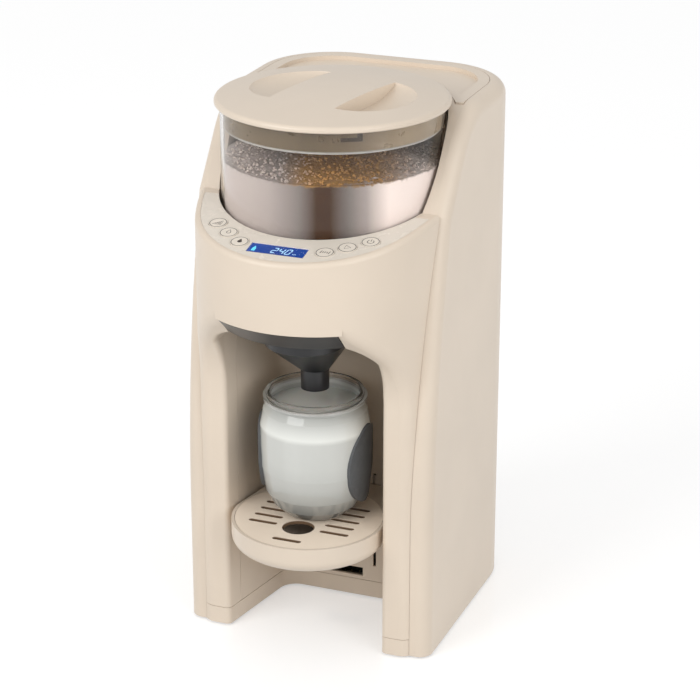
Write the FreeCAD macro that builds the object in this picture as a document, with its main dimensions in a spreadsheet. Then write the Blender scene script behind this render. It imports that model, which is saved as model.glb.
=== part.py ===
import FreeCAD, Part
import math
import os
import Sketcher

V = FreeCAD.Vector
DOC = FreeCAD.newDocument("FormulaMaker")

# Driving sizes, in millimetres and degrees. X is to the right, Y to the back, Z up.
# The origin lies on the table, under the middle of the body.
SIZES = {
    # body
    "body_width": 192, "front_edge": -133, "back_edge": 134, "body_top": 397, "floor_gap": 1.5,
    "wall": 3, "seam": 0.4, "head_flat": 10, "side_middle": 4, "rear_corner": 60,
    "leg_front": -75, "leg_blend": 60, "lip_height": 279.5, "lip_slope": 45, "lip_round": 11,
    "panel_height": 316.4, "panel_tilt": 11, "panel_round": 3.5,
    "groove_front": -72, "groove_start": 100, "groove_radius": 960, "groove_reach": 28.6,
    "sweep_slope": 54, "sweep_blend": 60, "shoulder_round": 10,
    "cheek_inset": 15,
    # bottle bay
    "bay_half": 61, "bay_back": 6, "bay_taper": 9.8, "bay_corner": 14, "bay_top": 250,
    "arch_round": 24, "liner": 2.2, "liner_front": -60, "return_wall": 8, "bay_lip_round": 4,
    "rail_x": 24.5, "rail_slot": 2.4, "rail_low": 28, "rail_high": 106, "finger_slot_z": 21,
    "guide_reach": 32.4,
    # base
    "base_height": 15, "base_plate": 3, "foot_radius": 6, "foot_inset": 24, "foot_front_y": -60,
    "foot_back_y": 100, "foot_height": 1.5,
    "screw_radius": 1.4, "screw_head": 2.6, "screw_inset": 7.6, "screw_front_y": -50,
    "screw_back_y": 50,
    # powder container and its well
    "jar_y": -16, "jar_radius": 80, "jar_wall": 2.2, "jar_gap": 1.6, "well_wall": 2.2,
    "deck_height": 295, "deck_thick": 3, "jar_top": 399.4, "jar_foot_gap": 0.3,
    "outlet_reach": 35.8, "outlet_radius": 10, "wheel_radius": 60, "wheel_thick": 8,
    "pocket_radius": 9, "pockets": 8, "wheel_gap": 0.35, "jar_floor": 2.5,
    "hub_radius": 8, "stirrer_shaft": 5, "arm_length": 58, "arm_width": 8, "arm_height": 6,
    "powder_top": 361, "powder_heap": 7,
    # container lid
    "lid_radius": 84, "lid_edge": 2.4, "lid_height": 10, "skirt_height": 14.5,
    "skirt_gap": 0.4, "bar_half": 27, "scoop_reach": 36, "scoop_length": 40,
    "scoop_depth": 10.5, "lid_turn": 11,
    # control panel
    "panel_thick": 1.6, "panel_inset": 4.2, "display_width": 42, "display_depth": 12.6,
    "display_x": -1.5, "display_y": -114.5, "button_radius": 6.7, "button_thick": 3,
    "button_proud": 0.5, "button_gap": 0.25,
    "button_angle_1": 18.5, "button_angle_2": 27.7, "button_angle_3": 37.8,
    "module_thick": 4, "board_thick": 1.6, "screw_angle": 47,
    "button_margin_1": 17.9, "button_margin_2": 13.6, "button_margin_3": 11.4,
    # drive
    "gear_radius": 19, "pinion_radius": 12, "tooth": 1, "gear_thick": 7, "gear_gap": 2.5,
    "drive_shaft": 3.5, "bush_wall": 3, "motor_radius": 18, "motor_height": 21, "motor_shaft": 2.5,
    "bracket_drop": 19, "bracket_thick": 2.5,
    # funnel
    "spout_y": -52, "basin_front_y": -70, "basin_radius": 29, "basin_top": 261,
    "basin_low": 237, "cone_low": 211, "spout_radius": 10.4, "spout_low": 195.6,
    "funnel_wall": 1.8, "cover_half": 44, "cover_thick": 2.5, "cover_low": 251,
    "cover_top": 265.2, "step_reach": 30,
    "slot_half": 32.2, "door_half": 38, "door_low": 253.3, "rail_height": 253.3,
    "flange_low": 255, "nozzle_x": -14, "nozzle_y": -36, "nozzle_rise": 10,
    # power
    "board_gap": 24,
    # water system
    "tank_lid_inset": 12, "tank_lid_front": 22, "tank_lid_gap": 3.4, "tank_lid_thick": 6.2,
    "dish_depth": 3, "dish_rim": 8.5, "tank_inset": 13, "tank_gap": 4.6, "tank_wall": 2.5,
    "tank_low": 171.3, "tank_top": 390.5, "shelf_height": 168, "shelf_thick": 3,
    "valve_x": 40, "valve_y": 92, "valve_radius": 9, "valve_low": 163,
    "hose_radius": 4, "hose_bore": 2.5, "heater_radius": 26, "heater_height": 84,
    "heater_x": -44, "heater_y": 72, "hose_y": 50, "hose_bend": 16, "water_line": 22,
    "water_line_y": 84,
    # bottle and tray
    "bottle_y": -52, "tray_y": -65, "tray_top": 97.9, "tray_radius": 57, "tray_depth": 20,
    "grate_radius": 54.4, "grate_thick": 3, "drain_radius": 11.9, "drain_y": -85.6,
    "slot_length": 22.5, "slot_width": 4.6, "slot_pitch": 11.05, "slot_column": 27.9,
    "tray_gap": 2.5, "tray_round": 9, "arm_z": 84, "tray_arm": 8,
}


class Size:
    """A number together with the spreadsheet formula that gives it."""

    def __init__(self, number, formula=None):
        self.number = float(number)
        self.formula = formula or repr(self.number)

    def join(self, other, sign, number):
        return Size(number, f"({self.formula} {sign} {size(other).formula})")

    def __add__(self, other):
        return self.join(other, "+", self.number + size(other).number)

    def __radd__(self, other):
        return size(other) + self

    def __sub__(self, other):
        return self.join(other, "-", self.number - size(other).number)

    def __rsub__(self, other):
        return size(other) - self

    def __mul__(self, other):
        return self.join(other, "*", self.number * size(other).number)

    def __rmul__(self, other):
        return size(other) * self

    def __truediv__(self, other):
        return self.join(other, "/", self.number / size(other).number)

    def __rtruediv__(self, other):
        return size(other) / self

    def __neg__(self):
        return 0 - self


def size(value):
    return value if isinstance(value, Size) else Size(value)


def root(value):
    return Size(math.sqrt(value.number), f"sqrt({value.formula})")


def sine(angle):
    return Size(math.sin(math.radians(angle.number)), f"sin({angle.formula})")


def cosine(angle):
    return Size(math.cos(math.radians(angle.number)), f"cos({angle.formula})")


def tangent(angle):
    return Size(math.tan(math.radians(angle.number)), f"tan({angle.formula})")


class Sheet:
    """The spreadsheet of driving sizes; each alias is also an attribute."""

    def __init__(self, sizes):
        sheet = DOC.addObject("Spreadsheet::Sheet", "sizes")
        for row, (alias, number) in enumerate(sizes.items(), start=1):
            sheet.set(f"A{row}", alias)
            sheet.set(f"B{row}", str(number))
            sheet.setAlias(f"B{row}", alias)
            setattr(self, alias, Size(number, f"sizes.{alias}"))


S = Sheet(SIZES)
DOC.recompute()
NODES = {}


# ---- ways of making a piece -----------------------------------------------------------------

def bind(item, **settings):
    """Binds properties to their formulas; x, y and z stand for the placement."""
    for name, value in settings.items():
        path = f"Placement.Base.{name}" if name in ("x", "y", "z") else name
        item.setExpression(path, size(value).formula)
    return item


def turn(item, axis, angle):
    """Turns a piece about an axis through its own origin."""
    item.Placement = FreeCAD.Placement(V(0, 0, 0), FreeCAD.Rotation(axis, size(angle).number))
    item.setExpression("Placement.Rotation.Angle", size(angle).formula)
    return item


def arc_through(start, end, radius):
    """The short arc from start to end; a positive radius turns left."""
    chord = end.sub(start)
    reach = abs(radius)
    left = V(-chord.y, chord.x, 0).normalize()
    height = math.sqrt(max(reach ** 2 - (chord.Length / 2) ** 2, 0))
    centre = start.add(chord * 0.5).add(left * (height if radius > 0 else -height))
    first, last = (start, end) if radius > 0 else (end, start)
    circle = Part.Circle(centre, V(0, 0, 1), reach)
    return Part.ArcOfCircle(circle, circle.parameter(first), circle.parameter(last))


def fix(sketch, kind, value, *place):
    """Adds a sketch dimension that follows its formula."""
    value = size(value)
    number = sketch.addConstraint(Sketcher.Constraint(kind, *place, value.number))
    sketch.setExpression(f"Constraints[{number}]", value.formula)


def draw(sketch, path):
    """Draws a closed outline. Each step goes to (x, y), or by an arc to (x, y, radius)."""
    first = sketch.GeometryCount
    points = [V(size(step[0]).number, size(step[1]).number, 0) for step in path]
    ends = []
    for index, step in enumerate(path):
        start, end = points[index - 1], points[index]
        radius = size(step[2]).number if len(step) > 2 else 0
        piece = arc_through(start, end, radius) if radius else Part.LineSegment(start, end)
        sketch.addGeometry(piece, False)
        ends.append((1, 2) if radius >= 0 else (2, 1))
    for index, step in enumerate(path):
        following = (index + 1) % len(path)
        item, finish = first + index, ends[index][1]
        sketch.addConstraint(Sketcher.Constraint(
            "Coincident", item, finish, first + following, ends[following][0]))
        fix(sketch, "DistanceX", step[0], -1, 1, item, finish)
        fix(sketch, "DistanceY", step[1], -1, 1, item, finish)
        if len(step) > 2:
            hold_arc(sketch, item, points[index - 1].sub(points[index]), step)


def hold_arc(sketch, item, chord, step):
    """Fixes an arc by its radius, or a half circle by its centre."""
    reach = size(step[2])
    if abs(chord.Length - 2 * abs(reach.number)) > 0.001:
        fix(sketch, "Radius", reach if reach.number > 0 else -reach, item)
    elif abs(chord.y) < abs(chord.x):
        fix(sketch, "DistanceY", step[1], -1, 1, item, 3)
    else:
        fix(sketch, "DistanceX", step[0], -1, 1, item, 3)


def draw_circle(sketch, x, y, radius):
    item = sketch.addGeometry(
        Part.Circle(V(size(x).number, size(y).number, 0), V(0, 0, 1), size(radius).number), False)
    fix(sketch, "DistanceX", x, -1, 1, item, 3)
    fix(sketch, "DistanceY", y, -1, 1, item, 3)
    fix(sketch, "Radius", radius, item)


def new_sketch(body, plane, offset=0):
    """A sketch on one of the body's own origin planes, moved along its normal."""
    sketch = body.newObject("Sketcher::SketchObject", body.Name + "_sketch")
    support = [item for item in body.Origin.OriginFeatures if item.Role == plane][0]
    sketch.AttachmentSupport = (support, [""])
    sketch.MapMode = "FlatFace"
    sketch.setExpression("AttachmentOffset.Base.z", size(offset).formula)
    return sketch


def pad(name, paths, length, offset=0, plane="XY_Plane", circles=(), **place):
    """A body: closed outlines and circles padded along the plane's normal."""
    body = DOC.addObject("PartDesign::Body", name)
    sketch = new_sketch(body, plane, offset)
    for path in paths:
        draw(sketch, path)
    for circle in circles:
        draw_circle(sketch, *circle)
    feature = body.newObject("PartDesign::Pad", name + "_pad")
    feature.Profile = sketch
    bind(feature, Length=length)
    return bind(body, **place)


def spin(name, path, **place):
    """A body of revolution: an outline in X and Z turned about the Z axis."""
    body = DOC.addObject("PartDesign::Body", name)
    sketch = new_sketch(body, "XZ_Plane")
    draw(sketch, path)
    feature = body.newObject("PartDesign::Revolution", name + "_spin")
    feature.Profile = sketch
    feature.ReferenceAxis = (sketch, ["V_Axis"])
    feature.Angle = 360
    return bind(body, **place)


def ring(name, outer, inner, low, high, **place):
    """A plain ring about the Z axis."""
    return spin(name, [(inner, low), (outer, low), (outer, high), (inner, high)], **place)


def cylinder(name, radius, height, **place):
    return bind(DOC.addObject("Part::Cylinder", name), Radius=radius, Height=height, **place)


def box(name, width, depth, height, **place):
    return bind(DOC.addObject("Part::Box", name), Length=width, Width=depth, Height=height,
                **place)


def cut(name, base, *tools):
    """The base less each tool."""
    for index, tool in enumerate(tools):
        last = index == len(tools) - 1
        result = DOC.addObject("Part::Cut", name if last else f"{name}_less_{index + 1}")
        result.Base, result.Tool = base, tool
        base = result
    return base


def fuse(name, *items):
    result = DOC.addObject("Part::MultiFuse", name)
    result.Shapes = list(items)
    result.Refine = True
    return result


def common(name, first, second):
    result = DOC.addObject("Part::Common", name)
    result.Base, result.Tool = first, second
    return result


def compound(name, items):
    result = DOC.addObject("Part::Compound", name)
    result.Links = list(items)
    return result


def rounded(name, base, choose, radius):
    """Rounds the base's edges that choose() accepts."""
    DOC.recompute()
    result = DOC.addObject("Part::Fillet", name)
    result.Base = base
    reach = size(radius).number
    result.Edges = [(number, reach, reach)
                    for number, edge in enumerate(base.Shape.Edges, start=1) if choose(edge)]
    return result


def span(edge):
    """The edge's box as low and high corner."""
    room = edge.BoundBox
    return V(room.XMin, room.YMin, room.ZMin), V(room.XMax, room.YMax, room.ZMax)


def keep(label, item):
    """Registers a finished piece under its own name."""
    item.Label = label
    NODES[label] = item
    return item


# ---- the forms of the casings ----------------------------------------------------------------

HALF = S.body_width / 2
HEAD_RADIUS = HALF - S.head_flat
CHEEK = HALF - S.cheek_inset
GROOVE_TOP_Y = S.groove_front + S.groove_reach
GROOVE_TOP_Z = S.groove_start + root(
    2 * S.groove_radius * S.groove_reach - S.groove_reach * S.groove_reach)
WELL_RADIUS = S.jar_radius + S.jar_gap
WRAP_RADIUS = WELL_RADIUS + S.well_wall
WELL_TOP = S.panel_height + (S.jar_y - WELL_RADIUS - S.front_edge) * tangent(S.panel_tilt) - 5
BRACKET = S.deck_height - S.bracket_drop
FAR = 200


def panel_line(y, depth=0):
    """Height of the tilted panel plane at y, less a depth square to it."""
    return (S.panel_height + (y - S.front_edge) * tangent(S.panel_tilt)
            - depth / cosine(S.panel_tilt))


def head_plan(inset):
    """The head seen from above: a round front that runs into nearly flat sides."""
    reach = S.side_middle - S.front_edge
    side_radius = (HALF * HALF + (reach - HEAD_RADIUS) * (reach - HEAD_RADIUS)
                   - HEAD_RADIUS * HEAD_RADIUS) / (2 * (HALF - HEAD_RADIUS))
    run = side_radius - HALF
    rise = S.front_edge + HEAD_RADIUS - S.side_middle
    length = root(run * run + rise * rise)
    join_x = (side_radius - inset) * run / length - run
    join_y = S.side_middle + (side_radius - inset) * rise / length
    side = HALF - inset
    beyond = S.side_middle + 10
    return [
        (join_x, join_y, HEAD_RADIUS - inset),
        (side, S.side_middle, side_radius - inset),
        (side, beyond),
        (-side, beyond),
        (-side, S.side_middle),
        (-join_x, join_y, side_radius - inset),
    ]


def head_side(inset, floor, open_back):
    """The front casing seen from the side: legs, sloping lip, head and tilted panel."""
    slope = S.lip_slope
    leg = S.leg_front + inset
    front = S.front_edge + inset
    lip = S.lip_height - inset * tangent(slope) + inset / cosine(slope)
    knee = lip - (leg - front) * tangent(slope)
    blend = S.leg_blend + inset
    step = blend * tangent((90 - slope) / 2)
    path = [
        (leg, floor),
        (leg, knee - step),
        (leg - step * cosine(slope), knee + step * sine(slope), blend),
        (front, lip),
        (front, panel_line(front, inset)),
    ]
    if open_back:
        return path + [(S.side_middle, panel_line(S.side_middle, inset)), (S.side_middle, floor)]
    return path + [
        (GROOVE_TOP_Y, panel_line(GROOVE_TOP_Y)),
        (GROOVE_TOP_Y, GROOVE_TOP_Z),
        (S.groove_front, S.groove_start, S.groove_radius),
        (S.groove_front, floor),
    ]


def shell_plan(inset):
    """The rear casing seen from above: flat sides and round rear corners."""
    side = HALF - inset
    back = S.back_edge - inset
    corner = S.rear_corner - inset
    rear = S.back_edge - S.rear_corner
    inner = HALF - S.rear_corner
    ahead = S.front_edge
    return [(side, ahead), (side, rear), (inner, back, corner), (-inner, back),
            (-side, rear, corner), (-side, ahead)]


def shell_side(inset, floor):
    """The rear casing seen from the side: the groove, the sweep up and the flat top."""
    sweep = S.sweep_slope
    front = S.groove_front + S.seam + inset
    foot_y = GROOVE_TOP_Y + S.seam + inset * 0.92
    foot_z = GROOVE_TOP_Z - inset * 0.43
    top = S.body_top - inset
    crest = (GROOVE_TOP_Y + S.seam + (S.body_top - GROOVE_TOP_Z) / tangent(sweep)
             + inset * (1 / cosine(sweep) - 1) / tangent(sweep))
    blend = S.sweep_blend - inset
    step = blend * tangent(sweep / 2)
    beyond = S.back_edge + 10
    return [
        (front, floor),
        (front, S.groove_start),
        (foot_y, foot_z, -(S.groove_radius - S.seam - inset)),
        (crest - step * cosine(sweep), top - step * sine(sweep)),
        (crest + step, top, -blend),
        (beyond, top),
        (beyond, floor),
    ]


def form(name, plan, side, floor):
    """The solid that fills both an outline from above and an outline from the side."""
    tall = pad(name + "_plan", [plan], S.body_top + 10 - floor, floor)
    wide = pad(name + "_profile", [side], S.body_width + 20, -HALF - 10, plane="YZ_Plane")
    return common(name + "_form", tall, wide)


def is_lip_edge(inset):
    def choose(edge):
        low, high = span(edge)
        return (high.y < S.leg_front.number + inset + 0.2 and high.z - low.z > 0.01
                and high.z < S.lip_height.number + inset + 1)
    return choose


def is_panel_edge(edge):
    low, high = span(edge)
    return low.z > S.panel_height.number - 0.1 and high.z - low.z > 0.01 and (
        high.x - low.x > 1 and (low.x < -1 or high.x > 1)) and not (
        abs(high.y - GROOVE_TOP_Y.number) < 0.1 and high.y - low.y < 0.1)


def is_mouth_edge(edge):
    low, high = span(edge)
    reach = S.bay_half.number + 6
    return (high.y < S.leg_front.number + 0.2 and high.x < reach and low.x > -reach
            and high.z < S.bay_top.number + 0.2 and high.z > 2
            and (high.z - low.z > 0.01 or low.z > S.bay_top.number - 0.1))


def is_shoulder_edge(inset):
    def choose(edge):
        low, high = span(edge)
        half, top = HALF.number - inset, S.body_top.number - inset
        rear = (S.back_edge - S.rear_corner).number
        on_side = low.x > half - 0.05 or high.x < -half + 0.05
        on_top = low.z > top - 0.05 and (
            high.y - low.y > 1 or high.y > S.back_edge.number - inset - 0.05)
        seam_line = abs(low.y - rear) < 0.05 and abs(high.y - rear) < 0.05
        flat_bottom = high.z < S.groove_start.number - 1
        return (on_side or on_top) and not seam_line and not flat_bottom
    return choose


def bay(name, grow, floor):
    """The bottle bay: tapered from above, arched from the front."""
    front = S.front_edge - 20
    back = S.bay_back + grow
    half = S.bay_half + grow
    narrow = half - (back - S.leg_front) * tangent(S.bay_taper)
    corner = S.bay_corner + grow
    step = corner * tangent((90 - S.bay_taper) / 2)
    side_x = narrow + step * sine(S.bay_taper)
    side_y = back - step * cosine(S.bay_taper)
    plan = [(half, front), (half, S.leg_front), (side_x, side_y),
            (narrow - step, back, corner), (step - narrow, back), (-side_x, side_y, corner),
            (-half, S.leg_front), (-half, front)]
    top = S.bay_top + grow
    arch = S.arch_round + grow
    arch_half = half + 2
    front_view = [(arch_half, floor), (arch_half, top - arch), (arch_half - arch, top, arch),
                  (arch - arch_half, top), (-arch_half, top - arch, arch), (-arch_half, floor)]
    tall = pad(name + "_plan", [plan], top + 10 - floor, floor)
    deep = pad(name + "_arch", [front_view], back + FAR, -back - 5, plane="XZ_Plane")
    return common(name + "_bay", tall, deep)


# ---- casings ----------------------------------------------------------------------------------

def slab_side(depth_low, depth_high, back):
    """A layer under the panel plane, seen from the side."""
    front = S.front_edge - 10
    return [(front, panel_line(front, depth_low)), (front, panel_line(front, depth_high)),
            (back, panel_line(back, depth_high)), (back, panel_line(back, depth_low))]


def panel_layer(name, inset, depth_low, depth_high, hole, back):
    """A crescent layer round the container, parallel to the panel plane."""
    low = S.bay_top
    tall = pad(name + "_plan", [head_plan(inset)], S.body_top - low, low)
    wide = pad(name + "_band", [slab_side(depth_low, depth_high, back)], S.body_width + 20,
               -HALF - 10, plane="YZ_Plane")
    well = cylinder(name + "_well", hole, S.body_top, y=S.jar_y, z=0)
    return cut(name + "_layer", common(name + "_both", tall, wide), well)


def front_step(name, inset):
    """The level step that brings the round front down behind the cover."""
    low = S.cover_top + inset
    lip = S.lip_height - inset * tangent(S.lip_slope) + inset / cosine(S.lip_slope)
    deep = inset + (lip - low) / tangent(S.lip_slope)
    tall = pad(name + "_plan", [head_plan(inset)], S.step_reach, low)
    room = box(name + "_room", FAR, deep + 10, S.step_reach, x=-FAR / 2, y=S.front_edge - 10,
               z=low)
    return common(name, tall, room)


def cover_shell(name, half, near, deep, low, top):
    """A layer of the cone under the head's front, from near to deep inside its face."""
    centre = S.front_edge + HEAD_RADIUS
    outer, inner = near / cosine(S.lip_slope), deep / cosine(S.lip_slope)
    rise = S.cover_top - HEAD_RADIUS * tangent(S.lip_slope)
    wide, small = HEAD_RADIUS + 6, HEAD_RADIUS - 40
    cone = spin(name + "_cone", [
        (small, rise + small * tangent(S.lip_slope) + outer),
        (wide, rise + wide * tangent(S.lip_slope) + outer),
        (wide, rise + wide * tangent(S.lip_slope) + inner),
        (small, rise + small * tangent(S.lip_slope) + inner)], y=centre)
    room = box(name + "_room", half * 2, HEAD_RADIUS + 10, top - low, x=-half,
               y=centre - HEAD_RADIUS - 10, z=low)
    return common(name, cone, room)


def make_casings():
    floor = S.floor_gap
    head = form("head", head_plan(Size(0)), head_side(Size(0), floor, False), floor)
    head = rounded("head_lip", head, is_lip_edge(0), S.lip_round)
    head = rounded("head_brow", head, is_panel_edge, S.panel_round)
    head = fuse("head_stepped", head, front_step("head_step", Size(0)))
    behind = box("behind_return", FAR * 2, FAR * 2, FAR * 2, x=-FAR, y=S.liner_front, z=-10)
    ahead = box("ahead_return", FAR * 2, FAR, FAR * 2, x=-FAR, y=S.leg_front + 1 - FAR, z=-10)
    strip = cut("mouth_return", bay("return", S.return_wall + 3, floor), behind, ahead)
    head = cut("head_bayed", fuse("head_deep", head, strip), bay("mouth", Size(0), Size(-5)))
    head = rounded("head_mouth", head, is_mouth_edge, S.bay_lip_round)
    hollow = form("hollow", head_plan(S.wall), head_side(S.wall, Size(-5), True), Size(-5))
    hollow = rounded("hollow_lip", hollow, is_lip_edge(S.wall.number), S.lip_round - S.wall)
    hollow = fuse("hollow_stepped", hollow, front_step("hollow_step", S.wall))
    hollow = cut("hollow_bayed", hollow, bay("lining", S.return_wall, Size(-6)))
    skin = cut("head_skin", head, hollow)
    well = cylinder("well_cut", WELL_RADIUS, FAR, y=S.jar_y, z=WELL_TOP)
    below = box("below_seam", FAR * 2, FAR * 2, S.base_height + 5, x=-FAR, y=-FAR, z=-5)
    notch = cover_shell("cover_notch", S.cover_half + S.seam, Size(-4),
                        S.cover_thick + S.seam, S.bay_top - 4, S.cover_top)
    slot = box("funnel_slot", S.slot_half * 2, S.liner_front + 2 - S.front_edge + 5, 14,
               x=-S.slot_half, y=S.front_edge - 5, z=S.bay_top - 6)
    doorway = box("funnel_doorway", S.door_half * 2, S.liner_front + 2 - S.front_edge + 5,
                  S.basin_top + 1.5 - S.door_low,
                  x=-S.door_half, y=S.front_edge - 5, z=S.door_low)
    inlay = panel_layer("panel_seat", S.panel_inset - 0.15, S.panel_thick, Size(-9),
                        WELL_RADIUS - 1, GROOVE_TOP_Y - 6)
    window = box("window_cut", S.display_width - 4, S.display_depth - 3, 30,
                 x=S.display_x - S.display_width / 2 + 2, y=S.display_y - S.display_depth / 2 + 1.5,
                 z=S.panel_height - 15)
    keys = [turned_cylinder(f"key_hole_{number}", S.button_radius + S.button_gap, 8, spot, -6)
            for number, spot in enumerate(button_spots(), start=1)]
    bosses = []
    for number, spot in enumerate(board_spots(), start=1):
        bosses.append(cut(f"board_boss_{number}",
                          turned_cylinder(f"boss_{number}", 3, board_depth() - S.wall + 0.5, spot,
                                          -board_depth()),
                          turned_cylinder(f"boss_bore_{number}", S.screw_radius, 4, spot,
                                          -board_depth() - 0.5)))
    skin = fuse("head_bossed", skin, *bosses)
    keep("front_housing", cut("front_housing", skin, well, below, notch, slot, doorway, inlay,
                              window, *keys))

    shell = form("shell", shell_plan(Size(0)), shell_side(Size(0), floor), floor)
    shell = rounded("shell_shoulder", shell, is_shoulder_edge(0), S.shoulder_round)
    room = form("room", shell_plan(S.wall), shell_side(S.wall, Size(-5)), Size(-5))
    room = rounded("room_shoulder", room, is_shoulder_edge(S.wall.number),
                   S.shoulder_round - S.wall)
    wrap = cylinder("wrap", WRAP_RADIUS, FAR, y=S.jar_y, z=WELL_TOP + S.seam)
    room = cut("room_behind_wrap", room, wrap)
    jar_space = cylinder("jar_space", WELL_RADIUS, FAR, y=S.jar_y, z=WELL_TOP)
    front_door = box("front_door", CHEEK * 2, 60, WELL_TOP, x=-CHEEK,
                     y=S.groove_front - 20, z=0)
    hatch = cut("tank_hatch", pad("hatch_plan", [tank_plan(S.tank_lid_inset - S.seam)], 30,
                                  S.body_top - 15),
                cylinder("hatch_wrap", WRAP_RADIUS + 3, FAR * 3, y=S.jar_y))
    socket = box("inlet_hole", 30, 20, 22, x=-15, y=S.back_edge - 10, z=24)
    shell = cut("rear_shell_skin", shell, room, jar_space, front_door, hatch, socket)
    posts = [cylinder(f"base_boss_{number}", 5, 20, x=x, y=y, z=S.floor_gap + S.base_plate + 0.3)
             for number, (x, y) in enumerate(screw_spots(), start=1)]
    bores = [cylinder(f"base_bore_{number}", S.screw_radius, 30, x=x, y=y, z=0)
             for number, (x, y) in enumerate(screw_spots(), start=1)]
    keep("rear_shell", cut("rear_shell", fuse("rear_shell_full", shell, *posts), *bores))

    lining = cut("liner_band", bay("liner_outside", S.liner, S.base_height),
                 bay("liner_inside", Size(0), Size(-8)))
    ahead = box("liner_ahead", FAR, FAR, S.bay_top + 20, x=-FAR / 2,
                y=S.liner_front + S.seam - FAR, z=-5)
    opening = pad("funnel_opening", [stadium(S.slot_half, S.spout_y, S.front_edge)], 16,
                  S.bay_top - 6)
    rails = [box(f"rail_slot_{side}", S.rail_slot, 10, S.rail_high - S.rail_low,
                 x=reach - S.rail_slot / 2, y=S.bay_back - 4, z=S.rail_low)
             for side, reach in (("left", -S.rail_x), ("right", S.rail_x))]
    grip = box("finger_slot", 30, 10, 7, x=-15, y=S.bay_back - 4, z=S.finger_slot_z - 3)
    wall_back = S.bay_back + S.liner
    guides = []
    for side, web, lip in (("left", -S.guide_reach - 3, -S.guide_reach - 3),
                           ("right", S.guide_reach, S.guide_reach - 3)):
        guides += [box(f"guide_web_{side}", 3, 7.5, 112, x=web, y=wall_back - 0.5, z=S.base_height),
                   box(f"guide_lip_{side}", 6, 2.5, 112, x=lip, y=wall_back + 4, z=S.base_height)]
    keep("bay_liner", fuse("bay_liner", cut("liner_open", lining, ahead, opening, grip, *rails),
                           *guides))
    make_base(head)


def stadium(radius, back_y, front_y):
    """A slot outline with a round back end, open ahead to front_y."""
    return [(radius, front_y), (radius, back_y), (-radius, back_y, radius), (-radius, front_y)]


def oval(radius, back_y, front_y):
    """Two half circles joined by straight sides."""
    return [(radius, front_y, radius), (radius, back_y), (-radius, back_y, radius),
            (-radius, front_y)]


def tank_plan(inset):
    """The hatch, lid and tank seen from above, before the wrap wall is taken out."""
    side = HALF - inset
    back = S.back_edge - inset
    corner = S.rear_corner - inset
    rear = S.back_edge - S.rear_corner
    inner = HALF - S.rear_corner
    front = S.tank_lid_front + inset - S.tank_lid_inset
    return [(side, front), (side, rear), (inner, back, corner), (-inner, back),
            (-side, rear, corner), (-side, front)]


def make_base(head):
    """The base: the two feet, the rim round the bay and the floor plate."""
    low = box("low_slice", FAR * 2, FAR * 2, S.base_height - S.floor_gap - S.seam,
              x=-FAR, y=-FAR, z=S.floor_gap)
    feet = common("feet_blocks", head, low)
    pocket = form("feet_pocket", head_plan(S.wall + 1),
                  head_side(S.wall + 1, S.floor_gap + S.base_plate, True),
                  S.floor_gap + S.base_plate)
    pocket = cut("feet_hollow", pocket, bay("feet_lining", S.liner, Size(0)))
    rim = common("bay_rim", cut("bay_rim_band", bay("rim_outside", S.liner, S.floor_gap),
                                bay("rim_inside", Size(0), Size(-8))), low)
    rim = cut("bay_rim_back", rim, box("rim_ahead", FAR, FAR, FAR, x=-FAR / 2,
                                       y=S.liner_front - FAR, z=-5))
    board_y = S.bay_back + S.liner + S.board_gap
    rails = [box(f"board_rail_{side}", 4, 8, 17, x=reach, y=board_y - 3.2,
                 z=S.floor_gap + S.base_plate - 1)
             for side, reach in (("left", -31.5), ("right", 27.5))]
    groove = box("board_groove", 56.4, 2, 60, x=-28.2, y=board_y - 0.2,
                 z=S.floor_gap + S.base_plate + 1.9)
    plate = cut("floor_plate", pad("plate_plan", [plate_plan()], S.base_plate, S.floor_gap),
                bay("plate_bay", Size(0), Size(-8)))
    holes = [cylinder(f"base_hole_{number}", S.screw_radius + 0.2, 10, x=x, y=y, z=0)
             for number, (x, y) in enumerate(screw_spots(), start=1)]
    sinks = [cylinder(f"base_sink_{number}", S.screw_head + 0.3, 1.8, x=x, y=y, z=S.floor_gap)
             for number, (x, y) in enumerate(screw_spots(), start=1)]
    keep("base_cover", cut("base_cover", fuse("base_parts", feet, rim, plate, *rails), pocket,
                           groove, *holes, *sinks))


def screw_spots():
    x = HALF - S.screw_inset
    return [(side * x, y) for y in (S.screw_front_y, S.screw_back_y) for side in (-1, 1)]


def board_spots():
    """Screws that hold the control board, beyond the outer buttons."""
    reach = WELL_RADIUS + S.button_margin_3
    return [(side * reach * sine(S.screw_angle), S.jar_y - reach * cosine(S.screw_angle))
            for side in (-1, 1)]


def board_depth():
    """How far the control board's top lies under the panel."""
    return S.wall + S.module_thick + 0.35


def plate_plan():
    """The floor plate, just inside the rear shell and up to the feet."""
    gap = S.wall + S.seam
    side = CHEEK - S.seam
    wide = HALF - gap
    back = S.back_edge - gap
    corner = S.rear_corner - gap
    rear = S.back_edge - S.rear_corner
    inner = HALF - S.rear_corner
    ahead = S.groove_front - 0.5
    step = S.groove_front + S.seam + S.wall + S.seam
    bevel = S.shoulder_round
    return [(side, ahead), (side, step), (wide - bevel, step), (wide, step + bevel), (wide, rear),
            (inner, back, corner), (-inner, back), (-wide, rear, corner), (-wide, step + bevel),
            (bevel - wide, step), (-side, step), (-side, ahead)]


# ---- control panel ----------------------------------------------------------------------------

BUTTON_NAMES = ["button_powder", "button_water", "button_warmth", "button_unit", "button_start",
                "button_power"]


def button_spots():
    """Button centres on the panel plane, as x and y, fanned round the container."""
    rows = ((S.button_angle_3, WELL_RADIUS + S.button_margin_3),
            (S.button_angle_2, WELL_RADIUS + S.button_margin_2),
            (S.button_angle_1, WELL_RADIUS + S.button_margin_1))
    left = [(-reach * sine(angle), S.jar_y - reach * cosine(angle)) for angle, reach in rows]
    return left + [(-x, y) for x, y in reversed(left)]


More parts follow.
